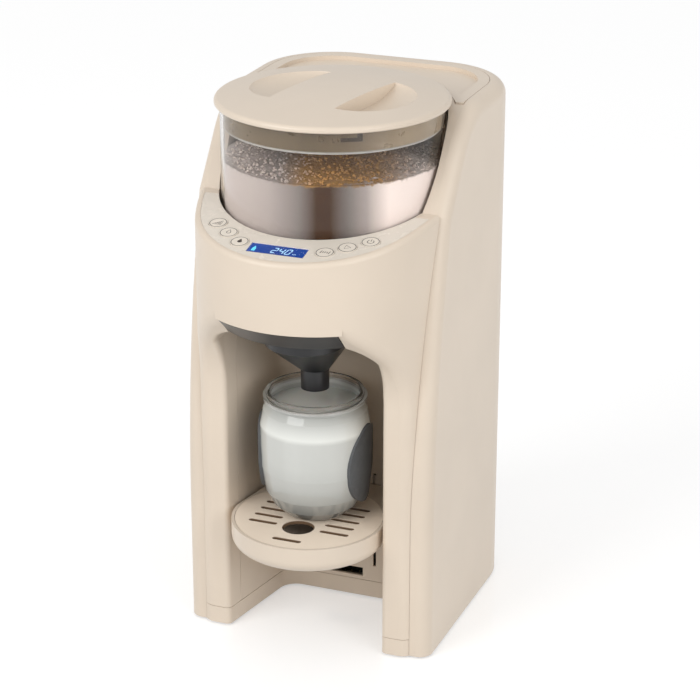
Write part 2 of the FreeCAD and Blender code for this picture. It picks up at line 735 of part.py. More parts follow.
def turned_cylinder(name, radius, height, spot, depth):
    """A cylinder square to the panel plane; depth is where it starts, along the normal."""
    x, y = spot
    rod = turn(DOC.addObject("Part::Cylinder", name), V(1, 0, 0), S.panel_tilt)
    depth = size(depth)
    return bind(rod, Radius=radius, Height=height, x=x, y=y - depth * sine(S.panel_tilt),
                z=panel_line(y) + depth * cosine(S.panel_tilt))


def turned_box(name, width, depth_size, height, x, y, depth):
    """A box centred at x, y on the panel plane, square to it, from a depth along its normal."""
    block = turn(DOC.addObject("Part::Box", name), V(1, 0, 0), S.panel_tilt)
    half = depth_size / 2
    depth = size(depth)
    corner_y = y - half * cosine(S.panel_tilt) - depth * sine(S.panel_tilt)
    corner_z = panel_line(y) - half * sine(S.panel_tilt) + depth * cosine(S.panel_tilt)
    return bind(block, Length=width, Width=depth_size, Height=height, x=x - size(width) / 2,
                y=corner_y, z=corner_z)


def make_panel():
    back = GROOVE_TOP_Y - 6.4
    spots = button_spots()
    plate = panel_layer("panel", S.panel_inset, S.panel_thick - 0.05, Size(0),
                        WELL_RADIUS, back)
    keys = [turned_cylinder(f"panel_hole_{number}", S.button_radius + S.button_gap, 8, spot, -4)
            for number, spot in enumerate(spots, start=1)]
    window = turned_box("panel_window", S.display_width + 0.3, S.display_depth + 0.3, 8,
                        S.display_x, S.display_y, -4)
    keep("control_panel", cut("control_panel", plate, window, *keys))
    keep("display_window", turned_box("display_window", S.display_width, S.display_depth,
                                      S.panel_thick, S.display_x, S.display_y, -S.panel_thick))
    for name, spot in zip(BUTTON_NAMES, spots):
        keep(name, turned_cylinder(name, S.button_radius, S.button_thick + S.button_proud, spot,
                                   -S.button_thick))
    keep("display_module", turned_box("display_module", S.display_width + 3,
                                      S.display_depth + 4, S.module_thick, S.display_x,
                                      S.display_y, -S.wall - 0.3 - S.module_thick))
    board_top = board_depth()
    board = panel_layer("board", Size(9), board_top + S.board_thick, board_top,
                        WRAP_RADIUS + 0.8, S.jar_y - 42)
    holes = [turned_cylinder(f"board_hole_{number}", S.screw_radius + 0.1, 6, spot,
                             -board_top - 4)
             for number, spot in enumerate(board_spots(), start=1)]
    keep("control_board", cut("control_board", board, *holes))
    switches = []
    stem_top = S.button_thick + 1
    for number, spot in enumerate(spots, start=1):
        body = turned_box(f"switch_body_{number}", Size(6), Size(6), board_top - stem_top - 1,
                          *spot, -board_top)
        stem = turned_cylinder(f"switch_stem_{number}", 1.6, 2.5, spot, -stem_top - 2.5)
        switches.append(fuse(f"switch_{number}", body, stem))
    keep("button_switches", compound("button_switches", switches))
    under = board_top + S.board_thick + 0.05
    screws = [fuse(f"board_screw_{number}",
                   turned_cylinder(f"board_shank_{number}", S.screw_radius, under - board_top + 3,
                                   spot, -under),
                   turned_cylinder(f"board_head_{number}", S.screw_head, 1.4, spot, -under - 1.4))
              for number, spot in enumerate(board_spots(), start=1)]
    return screws


# ---- powder container and drive ---------------------------------------------------------------

def make_container():
    foot = S.deck_height + S.deck_thick + S.jar_foot_gap
    base_top = foot + 3
    wheel_low = base_top + S.wheel_gap
    wheel_top = wheel_low + S.wheel_thick
    floor_low = wheel_top + S.wheel_gap
    floor_top = floor_low + S.jar_floor
    inside = S.jar_radius - S.jar_wall
    tube = spin("jar_tube", [
        (S.stirrer_shaft + 0.1, floor_low), (inside, floor_low), (inside, foot),
        (S.jar_radius, foot), (S.jar_radius, S.jar_top), (inside, S.jar_top),
        (inside, floor_top), (S.stirrer_shaft + 0.1, floor_top)], y=S.jar_y)
    inlet = cylinder("jar_inlet", S.outlet_radius, 20, y=S.jar_y + S.outlet_reach, z=floor_low - 5)
    keep("powder_container", cut("powder_container", tube, inlet))
    base = ring("base_disc", inside - 0.2, S.stirrer_shaft + 1, foot, base_top, y=S.jar_y)
    outlet = cylinder("base_outlet", S.outlet_radius, 20, y=S.spout_y, z=foot - 5)
    keep("container_base", cut("container_base", base, outlet))
    wheel = ring("wheel_disc", S.wheel_radius, S.stirrer_shaft, wheel_low, wheel_top, y=S.jar_y)
    pockets = []
    for number in range(int(S.pockets.number)):
        angle = (number + 0.5) * 360 / S.pockets
        pockets.append(cylinder(
            f"pocket_{number}", S.pocket_radius, 20, x=S.outlet_reach * sine(angle),
            y=S.jar_y + S.outlet_reach * cosine(angle), z=wheel_low - 5))
    keep("dosing_wheel", cut("dosing_wheel", wheel, *pockets))
    arm_low = floor_top + 0.5
    arms = box("stirrer_arms", S.arm_length * 2, S.arm_width, S.arm_height, x=-S.arm_length,
               y=S.jar_y - S.arm_width / 2, z=arm_low)
    hub = spin("stirrer_hub", [
        (0, base_top + 0.5), (S.stirrer_shaft, base_top + 0.5), (S.stirrer_shaft, arm_low),
        (S.hub_radius, arm_low), (S.hub_radius, arm_low + 10), (0, arm_low + 14)], y=S.jar_y)
    socket = cylinder("stirrer_socket", S.drive_shaft + 0.1, 9, y=S.jar_y, z=base_top - 1)
    keep("stirrer", cut("stirrer", fuse("stirrer_body", hub, arms), socket))
    clear = S.arm_length + 3
    lift = arm_low + S.arm_height + 2
    keep("powder", spin("powder", [
        (clear, floor_top + 0.3), (inside - 0.3, floor_top + 0.3), (inside - 0.3, S.powder_top),
        (0, S.powder_top + S.powder_heap), (0, lift + 8), (S.hub_radius + 3, lift + 6),
        (S.hub_radius + 3, lift), (clear, lift)], y=S.jar_y))
    make_lid(inside)
    make_drive(base_top)


def make_lid(inside):
    low = S.jar_top + 0.3
    edge = low + S.lid_edge
    top = low + S.lid_height
    plug = inside - S.skirt_gap
    rim = S.lid_radius - 2.5
    rise = S.lid_height - S.lid_edge - 2.2
    dome = (rim * rim + rise * rise) / (2 * rise)
    disc = spin("lid_disc", [
        (0, low), (S.lid_radius - 0.8, low), (S.lid_radius, low + 0.8),
        (S.lid_radius, edge), (rim, edge + 2.2, 3.2), (0, top, dome)], y=S.jar_y)
    well = cylinder("lid_plug", plug - 4, 5, y=S.jar_y, z=low - 5)
    body = fuse("lid_body", disc, well)
    hollows = [box("lid_hollow", S.bar_half * 2 - 8, 110, 11, x=-S.bar_half + 4, y=-55, z=low - 6)]
    for side, axis, angle in ((-1, V(1, 0, 0), 90), (1, V(0, 1, 1), 180)):
        bowl = turn(DOC.addObject("Part::Ellipsoid", f"lid_bowl_{side + 2}"), axis, angle)
        bind(bowl, Radius1=S.scoop_length, Radius2=S.scoop_reach, Radius3=S.scoop_depth,
             x=side * S.bar_half, z=top - 1)
        start = S.bar_half if side > 0 else -S.bar_half - 60
        half = box(f"lid_half_{side + 2}", 60, FAR, 60, x=start, y=-FAR / 2, z=top - 30)
        hollows.append(common(f"lid_scoop_{side + 2}", bowl, half))
    hollows = turn(compound("lid_hollows", hollows), V(0, 0, -1), S.lid_turn)
    keep("container_lid", cut("container_lid", body, bind(hollows, y=S.jar_y)))
    skirt = ring("skirt_ring", plug, plug - 2.2, low - S.skirt_height, low, y=S.jar_y)
    slot = box("bayonet_slot", 12, 8, 2, x=34, y=S.jar_y - plug - 2, z=low - 7)
    step = box("bayonet_step", 2, 12, 7, x=44, y=S.jar_y - plug - 2, z=low - 7)
    keep("lid_skirt", cut("lid_skirt", skirt, slot, step))
    torus = bind(DOC.addObject("Part::Torus", "lid_seal"), Radius1=plug - 1.5, Radius2=1,
                 y=S.jar_y, z=low - S.skirt_height - 1.1)
    keep("lid_seal", torus)


def make_drive(base_top):
    deck = S.deck_height
    cup = spin("deck_cup", [
        (S.drive_shaft + S.bush_wall, deck), (WRAP_RADIUS, deck), (WRAP_RADIUS, WELL_TOP - 0.3),
        (WELL_RADIUS, WELL_TOP - 0.3), (WELL_RADIUS, deck + S.deck_thick),
        (S.drive_shaft + S.bush_wall, deck + S.deck_thick)], y=S.jar_y)
    open_cup = cut("deck_outlet", cup, cylinder("well_outlet", S.outlet_radius + 1, 20,
                                                y=S.spout_y, z=deck - 5))
    chute_out = S.outlet_radius + 2.6
    chute = spin("powder_chute", [
        (S.outlet_radius, S.basin_top + 2), (chute_out - 0.8, S.basin_top + 2),
        (chute_out, deck - 3), (chute_out + 3, deck - 3), (chute_out + 3, deck),
        (S.outlet_radius + 1, deck), (S.outlet_radius + 1, deck + S.deck_thick),
        (S.outlet_radius, deck + S.deck_thick)], y=S.spout_y)
    keep("container_well", fuse("container_well", open_cup, chute))
    bushes = [ring(name, S.drive_shaft + S.bush_wall, S.drive_shaft + 0.05, low, low + tall,
                   y=S.jar_y)
              for name, low, tall in (("deck_bush", deck, S.deck_thick),
                                      ("bracket_bush", BRACKET, S.bracket_thick))]
    keep("shaft_bushes", compound("shaft_bushes", bushes))
    shaft_low = BRACKET - 3
    keep("drive_shaft", cylinder("drive_shaft", S.drive_shaft, base_top + 5 - shaft_low,
                                 y=S.jar_y, z=shaft_low))
    gears = (("drive_gear", S.gear_radius, S.drive_shaft, S.jar_y, 0),
             ("motor_pinion", S.pinion_radius, S.motor_shaft,
              S.jar_y + S.gear_radius + S.pinion_radius, 0.5))
    for name, radius, bore, y, phase in gears:
        keep(name, gear(name, radius, bore, y, phase))
    motor_y = S.jar_y + S.gear_radius + S.pinion_radius
    motor_low = BRACKET - S.motor_height
    can = cylinder("motor_can", S.motor_radius, S.motor_height - 0.2, y=motor_y, z=motor_low)
    nose = cylinder("motor_nose", 6, S.bracket_thick, y=motor_y, z=BRACKET - 0.2)
    keep("gear_motor", fuse("gear_motor", can, nose))
    keep("motor_shaft", cylinder("motor_shaft", S.motor_shaft, S.gear_thick + 6, y=motor_y,
                                 z=BRACKET + S.bracket_thick))
    plate = box("bracket_plate", 44, S.gear_radius + S.pinion_radius + 28, S.bracket_thick, x=-22,
                y=S.jar_y - 9, z=BRACKET)
    posts = [box(f"bracket_post_{side}", 5, 8, deck - BRACKET - S.bracket_thick,
                 x=reach, y=motor_y + 8, z=BRACKET + S.bracket_thick)
             for side, reach in (("left", -21), ("right", 16))]
    holes = [cylinder("bracket_bush_hole", S.drive_shaft + S.bush_wall, 20, y=S.jar_y,
                      z=BRACKET - 5),
             cylinder("bracket_motor_hole", 6.2, 20, y=motor_y, z=BRACKET - 5)]
    keep("drive_bracket", cut("drive_bracket", fuse("bracket_body", plate, *posts), *holes))


def gear(name, radius, bore, y, phase):
    """A spur gear: one tooth shape, repeated round a disc."""
    teeth = int(round(2 * radius.number / S.tooth.number))
    foot = radius - 1.15 * S.tooth
    body = DOC.addObject("PartDesign::Body", name)
    sketch = new_sketch(body, "XY_Plane", BRACKET + S.bracket_thick + S.gear_gap)
    draw_circle(sketch, 0, 0, foot)
    draw_circle(sketch, 0, 0, bore)
    disc = body.newObject("PartDesign::Pad", name + "_disc")
    disc.Profile = sketch
    bind(disc, Length=S.gear_thick)
    outline = new_sketch(body, "XY_Plane", BRACKET + S.bracket_thick + S.gear_gap)
    low, mid, high = S.tooth * 1.0, S.tooth * 0.76, S.tooth * 0.4
    reach, tip = radius, radius + 0.9 * S.tooth
    draw(outline, [(-low, foot - 0.5), (low, foot - 0.5), (mid, reach - S.tooth * 0.05),
                   (high, tip), (-high, tip), (-mid, reach - S.tooth * 0.05)])
    tooth_pad = body.newObject("PartDesign::Pad", name + "_tooth")
    tooth_pad.Profile = outline
    bind(tooth_pad, Length=S.gear_thick)
    pattern = body.newObject("PartDesign::PolarPattern", name + "_teeth")
    pattern.Originals = [tooth_pad]
    pattern.Axis = (sketch, ["N_Axis"])
    pattern.Angle = 360
    pattern.Occurrences = teeth
    body.Tip = pattern
    body.Placement = FreeCAD.Placement(
        V(0, 0, 0), FreeCAD.Rotation(V(0, 0, 1), phase * 360 / teeth))
    return bind(body, y=y)


# ---- funnel -----------------------------------------------------------------------------------

def make_funnel():
    outside = loft("basin_outside", S.basin_radius, S.spout_radius + 0.6, 0)
    inside = loft("basin_inside", S.basin_radius - S.funnel_wall,
                  S.spout_radius + 0.6 - S.funnel_wall, 0.2)
    wall = pad("basin_wall", [oval(S.basin_radius, S.spout_y, S.basin_front_y)],
               S.basin_top - S.basin_low, S.basin_low)
    well = pad("basin_well", [oval(S.basin_radius - S.funnel_wall, S.spout_y, S.basin_front_y)],
               S.basin_top - S.basin_low + 1, S.basin_low)
    spout = cylinder("spout_tube", S.spout_radius, S.cone_low - S.spout_low, y=S.spout_y,
                     z=S.spout_low)
    bore = cylinder("spout_bore", S.spout_radius - S.funnel_wall, FAR / 10 + 2, y=S.spout_y,
                    z=S.spout_low - 2)
    flange = cut("flange", box("flange_plate", 72, 38.5, 1.8, x=-36, y=S.spout_y - 13.5,
                               z=S.flange_low),
                 pad("flange_well", [oval(S.basin_radius - 1, S.spout_y, S.basin_front_y)], 20,
                     S.bay_top - 5))
    keep("mixing_funnel", cut("mixing_funnel", fuse("funnel_body", outside, wall, spout, flange),
                              inside, well, bore))
    plate = cover_shell("cover_plate", S.cover_half, Size(0), S.cover_thick, S.cover_low,
                        S.cover_top - S.seam)
    lug = common("cover_lug", cover_shell("lug_room", S.slot_half - 2, Size(0), Size(40),
                                          S.cover_low, S.door_low + 5.7),
                 box("lug_block", FAR, 40, 40, x=-FAR / 2,
                     y=S.basin_front_y - S.basin_radius - 38, z=S.cover_low - 10))
    crisp = pad("cover_envelope", [head_plan(Size(0))], 40, S.cover_low - 10)
    face = common("cover_face", fuse("cover_slab", plate, lug), crisp)
    boss = cut("cover_boss", pad("boss_out", [oval(S.basin_radius + 2.6, S.spout_y,
                                                   S.basin_front_y)], 14, S.bay_top - 4),
               pad("boss_in", [oval(S.basin_radius + 0.5, S.spout_y, S.basin_front_y)], 40,
                   S.bay_top - 20),
               box("boss_back", FAR, FAR, FAR, x=-FAR / 2, y=S.basin_front_y + 4, z=S.bay_top - 60))
    bulge = pad("bulge_clear", [oval(S.basin_radius + 0.5, S.spout_y, S.basin_front_y)], 40,
                S.bay_top - 20)
    keep("funnel_cover", cut("funnel_cover", fuse("cover_body", face, boss), bulge))
    rails = [box(f"funnel_rail_{side}", 5.5, 58, S.flange_low - 0.1 - S.rail_height, x=reach,
                 y=S.spout_y - 33, z=S.rail_height)
             for side, reach in (("left", -S.slot_half - 5.5), ("right", S.slot_half))]
    keep("funnel_rails", compound("funnel_rails", rails))


def loft(name, top_radius, low_radius, lift):
    """The funnel's cone: an oval above, a circle below."""
    body = DOC.addObject("PartDesign::Body", name)
    upper = new_sketch(body, "XY_Plane", S.basin_low + lift)
    draw(upper, oval(top_radius, S.spout_y, S.basin_front_y))
    lower = new_sketch(body, "XY_Plane", S.cone_low - lift)
    draw(lower, oval(low_radius, S.spout_y, S.spout_y - 0.6))
    cone_loft = body.newObject("PartDesign::AdditiveLoft", name + "_loft")
    cone_loft.Profile = lower
    cone_loft.Sections = [upper]
    cone_loft.Ruled = True
    return body


# ---- water system -----------------------------------------------------------------------------

def behind_jar(name, inset, wrap, low, high):
    """The room behind the container, inset from the casing, from low to high."""
    tall = pad(name + "_plan", [tank_plan(inset)], high - low, low)
    return cut(name, tall, cylinder(name + "_wrap", wrap, high - low + 10, y=S.jar_y, z=low - 5))


def make_tank():
    lid_wrap = WRAP_RADIUS + S.tank_lid_gap
    lid = behind_jar("tank_lid_body", S.tank_lid_inset, lid_wrap,
                     S.body_top - S.tank_lid_thick, S.body_top)
    dish = behind_jar("tank_lid_dish", S.tank_lid_inset + S.dish_rim, lid_wrap + S.dish_rim,
                      S.body_top - S.dish_depth, S.body_top + 2)
    keep("tank_lid", cut("tank_lid", lid, dish))
    wrap = WRAP_RADIUS + S.tank_gap
    outside = behind_jar("tank_outside", S.tank_inset, wrap, S.tank_low, S.tank_top)
    inside = behind_jar("tank_inside", S.tank_inset + S.tank_wall, wrap + S.tank_wall,
                        S.tank_low + S.tank_wall, S.tank_top + 2)
    hole = cylinder("tank_valve_hole", S.valve_radius, 10, x=S.valve_x, y=S.valve_y,
                    z=S.tank_low - 3)
    keep("water_tank", cut("water_tank", outside, inside, hole))
    web = S.tank_low + 0.5
    top = S.tank_low + S.tank_wall
    body = spin("valve_shell", [
        (2.1, web), (7, web), (7, S.valve_low), (S.valve_radius, S.valve_low),
        (S.valve_radius, top), (2.1, top)], x=S.valve_x, y=S.valve_y)
    ports = [cylinder(f"valve_port_{number}", 1.5, 10, x=S.valve_x + dx, y=S.valve_y + dy,
                      z=web - 3)
             for number, (dx, dy) in enumerate(((4.5, 0), (0, 4.5), (-4.5, 0), (0, -4.5)), 1)]
    keep("tank_valve", cut("tank_valve", body, *ports))
    keep("valve_plunger", spin("valve_plunger", [
        (0, S.valve_low + 1), (5, S.valve_low + 1), (5, S.valve_low + 2.5),
        (1.9, S.valve_low + 2.5), (1.9, top + 0.1), (6.6, top + 0.1), (6.6, top + 2), (0, top + 3)],
        x=S.valve_x, y=S.valve_y))
    coil = DOC.addObject("Part::Helix", "spring_line")
    bind(coil, Pitch=1.6, Height=web - S.valve_low - 3.6, Radius=3.4, x=S.valve_x, y=S.valve_y,
         z=S.valve_low + 3.1)
    wire = DOC.addObject("Part::Circle", "spring_wire")
    wire.Placement = FreeCAD.Placement(V(0, 0, 0), FreeCAD.Rotation(V(1, 0, 0), 90))
    bind(wire, Radius=0.4, x=S.valve_x + 3.4, y=S.valve_y, z=S.valve_low + 3.1)
    spring = DOC.addObject("Part::Sweep", "valve_spring")
    spring.Sections = [wire]
    spring.Spine = (coil, ["Edge1"])
    spring.Solid = True
    spring.Frenet = True
    keep("valve_spring", spring)


def make_shelf():
    slab = behind_jar("shelf_slab", S.wall + S.seam, WRAP_RADIUS + 1, S.shelf_height,
                      S.shelf_height + S.shelf_thick)
    hole = cylinder("shelf_hole", S.valve_radius + 0.4, 10, x=S.valve_x, y=S.valve_y,
                    z=S.shelf_height - 3)
    keep("tank_shelf", cut("tank_shelf", slab, hole))
    low = S.shelf_height - 14
    bore = S.valve_radius + 0.4
    cup = spin("socket_cup", [
        (S.hose_bore - 0.6, low - 12), (S.hose_bore - 0.05, low - 12), (S.hose_bore - 0.05, low),
        (bore + 2.5, low), (bore + 2.5, S.shelf_height), (bore, S.shelf_height),
        (bore, low + 3), (S.hose_bore - 0.6, low + 3)], x=S.valve_x, y=S.valve_y)
    bar = box("socket_bar", bore * 2 + 1, 2, 3, x=S.valve_x - bore - 0.5, y=S.valve_y - 1,
              z=low + 3)
    pin = cylinder("socket_pin", 2, S.valve_low + 0.9 - low - 5, x=S.valve_x, y=S.valve_y,
                   z=low + 5)
    keep("tank_socket", fuse("tank_socket", cup, bar, pin))
    seal = bind(DOC.addObject("Part::Torus", "socket_seal"), Radius1=bore + 1.4, Radius2=0.9,
                x=S.valve_x, y=S.valve_y, z=S.shelf_height - 1)
    groove = bind(DOC.addObject("Part::Torus", "seal_room"), Radius1=bore + 1.4, Radius2=0.9,
                  x=S.valve_x, y=S.valve_y, z=S.shelf_height - 1)
    NODES["tank_socket"] = keep("tank_socket", cut("socket_grooved", NODES["tank_socket"],
                                                   groove))
    keep("socket_seal", seal)
    return low


def hose(name, length, **place):
    """A straight hose along its own Z axis."""
    return cut(name, cylinder(name + "_outside", S.hose_radius, length, **place),
               cylinder(name + "_bore", S.hose_bore, length, **place))


def flat(item):
    """Turns a piece built along Z so that it lies along X."""
    return turn(item, V(0, 1, 0), 90)


def make_water():
    plate = S.floor_gap + S.base_plate
    low = make_shelf()
    pump_top = 48
    head = box("pump_head", 32, 28, pump_top - 8 - plate, x=S.valve_x - 16, y=S.valve_y - 14,
               z=plate)
    neck = cylinder("pump_neck", S.hose_bore - 0.05, 8, x=S.valve_x, y=S.valve_y, z=pump_top - 8)
    motor = turn(DOC.addObject("Part::Cylinder", "pump_motor"), V(1, 0, 0), 90)
    bind(motor, Radius=14, Height=38, x=S.valve_x, y=S.valve_y - 14, z=plate + 17)
    cradle = box("pump_cradle", 20, 30, 8, x=S.valve_x - 10, y=S.valve_y - 50, z=plate)
    outlet = bind(flat(DOC.addObject("Part::Cylinder", "pump_outlet")), Radius=S.hose_bore - 0.05,
                  Height=14, x=S.valve_x - 28, y=S.water_line_y, z=S.water_line)
    keep("water_pump", fuse("water_pump", head, neck, motor, cradle, outlet))
    keep("tank_hose", hose("tank_hose", low - 0.5 - pump_top + 8, x=S.valve_x, y=S.valve_y,
                           z=pump_top - 8 + 0.3))
    top = plate + S.heater_height
    can = cylinder("heater_can", S.heater_radius, S.heater_height, x=S.heater_x, y=S.heater_y,
                   z=plate)
    inlet = bind(flat(DOC.addObject("Part::Cylinder", "heater_inlet")), Radius=S.hose_bore - 0.05,
                 Height=22, x=S.heater_x + 18, y=S.water_line_y, z=S.water_line)
    riser = cylinder("heater_riser", S.hose_bore - 0.05, 10, x=S.heater_x, y=S.hose_y, z=top - 1)
    keep("water_heater", fuse("water_heater", can, inlet, riser))
    start = S.heater_x + S.heater_radius + 1
    tube = cut("pump_hose", bind(flat(DOC.addObject("Part::Cylinder", "pump_hose_outside")),
                                 Radius=S.hose_radius, Height=S.valve_x - 16.5 - start, x=start,
                                 y=S.water_line_y, z=S.water_line),
               bind(flat(DOC.addObject("Part::Cylinder", "pump_hose_bore")),
                    Radius=S.hose_bore, Height=S.valve_x - 16.5 - start, x=start,
                    y=S.water_line_y, z=S.water_line))
    keep("pump_hose", tube)
    keep("nozzle_hose", bent_hose("nozzle_hose", top + 0.3, S.nozzle_y + 8))
    make_nozzle()


def bent_hose(name, low, front):
    """The hose from the heater up behind the bay and forward to the nozzle."""
    body = DOC.addObject("PartDesign::Body", name)
    line = new_sketch(body, "YZ_Plane", S.heater_x)
    level, bend = S.basin_top + S.nozzle_rise, S.hose_bend
    open_line(line, [(S.hose_y, low), (S.hose_y, level - bend), (S.hose_y - bend, level, bend),
                     (front, level)])
    section = new_sketch(body, "XY_Plane", low)
    draw_circle(section, S.heater_x, S.hose_y, S.hose_radius)
    draw_circle(section, S.heater_x, S.hose_y, S.hose_bore)
    pipe = body.newObject("PartDesign::AdditivePipe", name + "_pipe")
    pipe.Profile = section
    pipe.Spine = (line, [f"Edge{number}" for number in range(1, 4)])
    return body


def make_nozzle():
    x, y, level = S.nozzle_x, S.nozzle_y, S.basin_top + S.nozzle_rise
    tip = cylinder("nozzle_tip", 2.5, level - S.basin_top - 1.5, x=x, y=y, z=S.basin_top + 1.5)
    head = cylinder("nozzle_head", 4.5, 8, x=x, y=y, z=level - 4)
    post = cylinder("nozzle_post", 3, S.deck_height - level, x=x, y=y, z=level)
    arm = bind(flat(DOC.addObject("Part::Cylinder", "nozzle_arm")), Radius=3,
               Height=x - S.heater_x, x=S.heater_x, y=y, z=level)
    elbow = bind(DOC.addObject("Part::Sphere", "nozzle_elbow"), Radius=4, x=S.heater_x, y=y,
                 z=level)
    stub = turn(DOC.addObject("Part::Cylinder", "nozzle_stub"), V(1, 0, 0), -90)
    bind(stub, Radius=S.hose_bore - 0.05, Height=18, x=S.heater_x, y=y, z=level)
    keep("water_nozzle", fuse("water_nozzle", tip, head, post, arm, elbow, stub))


def open_line(sketch, path):
    """Draws an open line; each step after the first is (x, y) or an arc (x, y, radius)."""
    points = [V(size(step[0]).number, size(step[1]).number, 0) for step in path]
    ends = []
    for index, step in enumerate(path[1:], start=1):
        start, end = points[index - 1], points[index]
        radius = size(step[2]).number if len(step) > 2 else 0
        piece = arc_through(start, end, radius) if radius else Part.LineSegment(start, end)
        sketch.addGeometry(piece, False)
        ends.append((1, 2) if radius >= 0 else (2, 1))
        fix(sketch, "DistanceX", step[0], -1, 1, index - 1, ends[-1][1])
        fix(sketch, "DistanceY", step[1], -1, 1, index - 1, ends[-1][1])
        if len(step) > 2:
            fix(sketch, "Radius", step[2], index - 1)
        if index > 1:
            sketch.addConstraint(Sketcher.Constraint(
                "Coincident", index - 2, ends[-2][1], index - 1, ends[-1][0]))
    fix(sketch, "DistanceX", path[0][0], -1, 1, 0, 1)
    fix(sketch, "DistanceY", path[0][1], -1, 1, 0, 1)


# ---- power ------------------------------------------------------------------------------------

def make_power():
    plate = S.floor_gap + S.base_plate
    back = S.back_edge
    socket = cut("inlet_socket", fuse(
        "inlet_body", box("inlet_block", 29.4, 13.6, 21.4, x=-14.7, y=back - 13.8, z=24.3),
        box("inlet_flange", 34, 1.5, 26, x=-17, y=back - S.wall - 1.8, z=22)),
        box("inlet_recess", 22, 10, 14, x=-11, y=back - 8, z=28))
    pins = [turn(DOC.addObject("Part::Cylinder", f"inlet_pin_{number}"), V(1, 0, 0), 90)
            for number in (1, 2)]
    for pin, x in zip(pins, (-5, 5)):
        bind(pin, Radius=1.2, Height=8, x=x, y=back - 1, z=35)
    keep("power_inlet", fuse("power_inlet", socket, *pins))
    board_y = S.bay_back + S.liner + S.board_gap
    keep("power_board", box("power_board", 56, S.board_thick, 52, x=-28, y=board_y, z=plate + 2))
    face = board_y + S.board_thick
    parts = [box(name, width, deep, tall, x=x, y=face, z=plate + lift)
             for name, width, deep, tall, x, lift in (
                 ("board_transformer", 20, 12, 18, -24, 8), ("board_relay", 16, 9, 12, 6, 8),
                 ("board_bank", 24, 5, 8, 0, 34))]
    keep("power_parts", compound("power_parts", parts))


# ---- tray, bottle -----------------------------------------------------------------------------

def make_tray():
    thick = S.tray_depth
    low = S.tray_top - thick
    tall = bay("tray_room", -S.tray_gap, low)
    below = box("tray_ceiling", FAR * 2, FAR * 2, FAR, x=-FAR, y=-FAR, z=S.tray_top)
    round_front = pad("tray_front", [stadium_back(S.tray_radius, S.tray_y, 20)], thick, low)
    blank = common("tray_blank", cut("tray_slab", tall, below), round_front)
    blank = rounded("tray_soft", blank, is_tray_edge, S.tray_round)
    grate_low = S.tray_top - S.grate_thick
    ledge = cylinder("tray_ledge", S.grate_radius + 0.3, 10, y=S.tray_y, z=grate_low)
    pan = cylinder("tray_pan", S.tray_radius - 7, 30, y=S.tray_y, z=low + 3)
    pockets = [box(f"tray_pocket_{side}", 1.9, 20, S.tray_arm + 0.2, x=reach - 0.95,
                   y=S.bay_back - S.tray_gap - 17, z=S.arm_z - 0.1)
               for side, reach in (("left", -S.rail_x), ("right", S.rail_x))]
    keep("bottle_tray", cut("bottle_tray", blank, ledge, pan, *pockets))
    disc = pad("grate_disc", [], S.grate_thick, grate_low,
               circles=[(0, 0, S.grate_radius)], y=S.tray_y)
    drain = cylinder("grate_drain", S.drain_radius, 10, y=S.drain_y, z=grate_low - 3)
    slots = [pad("grate_slot_front", [slot_outline()], 10, grate_low - 3, x=0,
                 y=S.drain_y - 2 * S.slot_pitch)]
    for side, reach in (("left", -S.slot_column), ("right", S.slot_column)):
        for row in range(5):
            slots.append(pad(f"grate_slot_{side}_{row}", [slot_outline()], 10, grate_low - 3,
                             x=reach, y=S.drain_y + row * S.slot_pitch))
    keep("tray_grate", cut("tray_grate", disc, drain, *slots))
    bar = S.bay_back + S.liner + 0.8
    arm_front = S.bay_back - S.tray_gap - 13
    arms = [box(f"carriage_arm_{side}", 1.6, bar + 3 - arm_front, S.tray_arm, x=reach - 0.8,
                y=arm_front, z=S.arm_z)
            for side, reach in (("left", -S.rail_x), ("right", S.rail_x))]
    plate = box("carriage_plate", 64, 3, 30, x=-32, y=bar, z=S.arm_z - 11)
    keep("tray_carriage", fuse("tray_carriage", plate, *arms))


def is_tray_edge(edge):
    low, high = span(edge)
    base = (S.tray_top - S.tray_depth).number
    return abs(low.z - base) < 0.05 and abs(high.z - base) < 0.05


def stadium_back(radius, front_y, back_y):
    """An outline with a round front end that runs straight to the back."""
    return [(-radius, back_y), (-radius, front_y), (radius, front_y, radius), (radius, back_y)]


def slot_outline():
    """A slot with round ends, about its own middle."""
    end = (S.slot_length - S.slot_width) / 2
    half = S.slot_width / 2
    return [(-end, -half, half), (end, -half), (end, half, half), (-end, half)]


BOTTLE = ((24, 100), (31.5, 107), (36.7, 117), (38, 125), (39.6, 136), (40.1, 152),
          (40.3, 168))


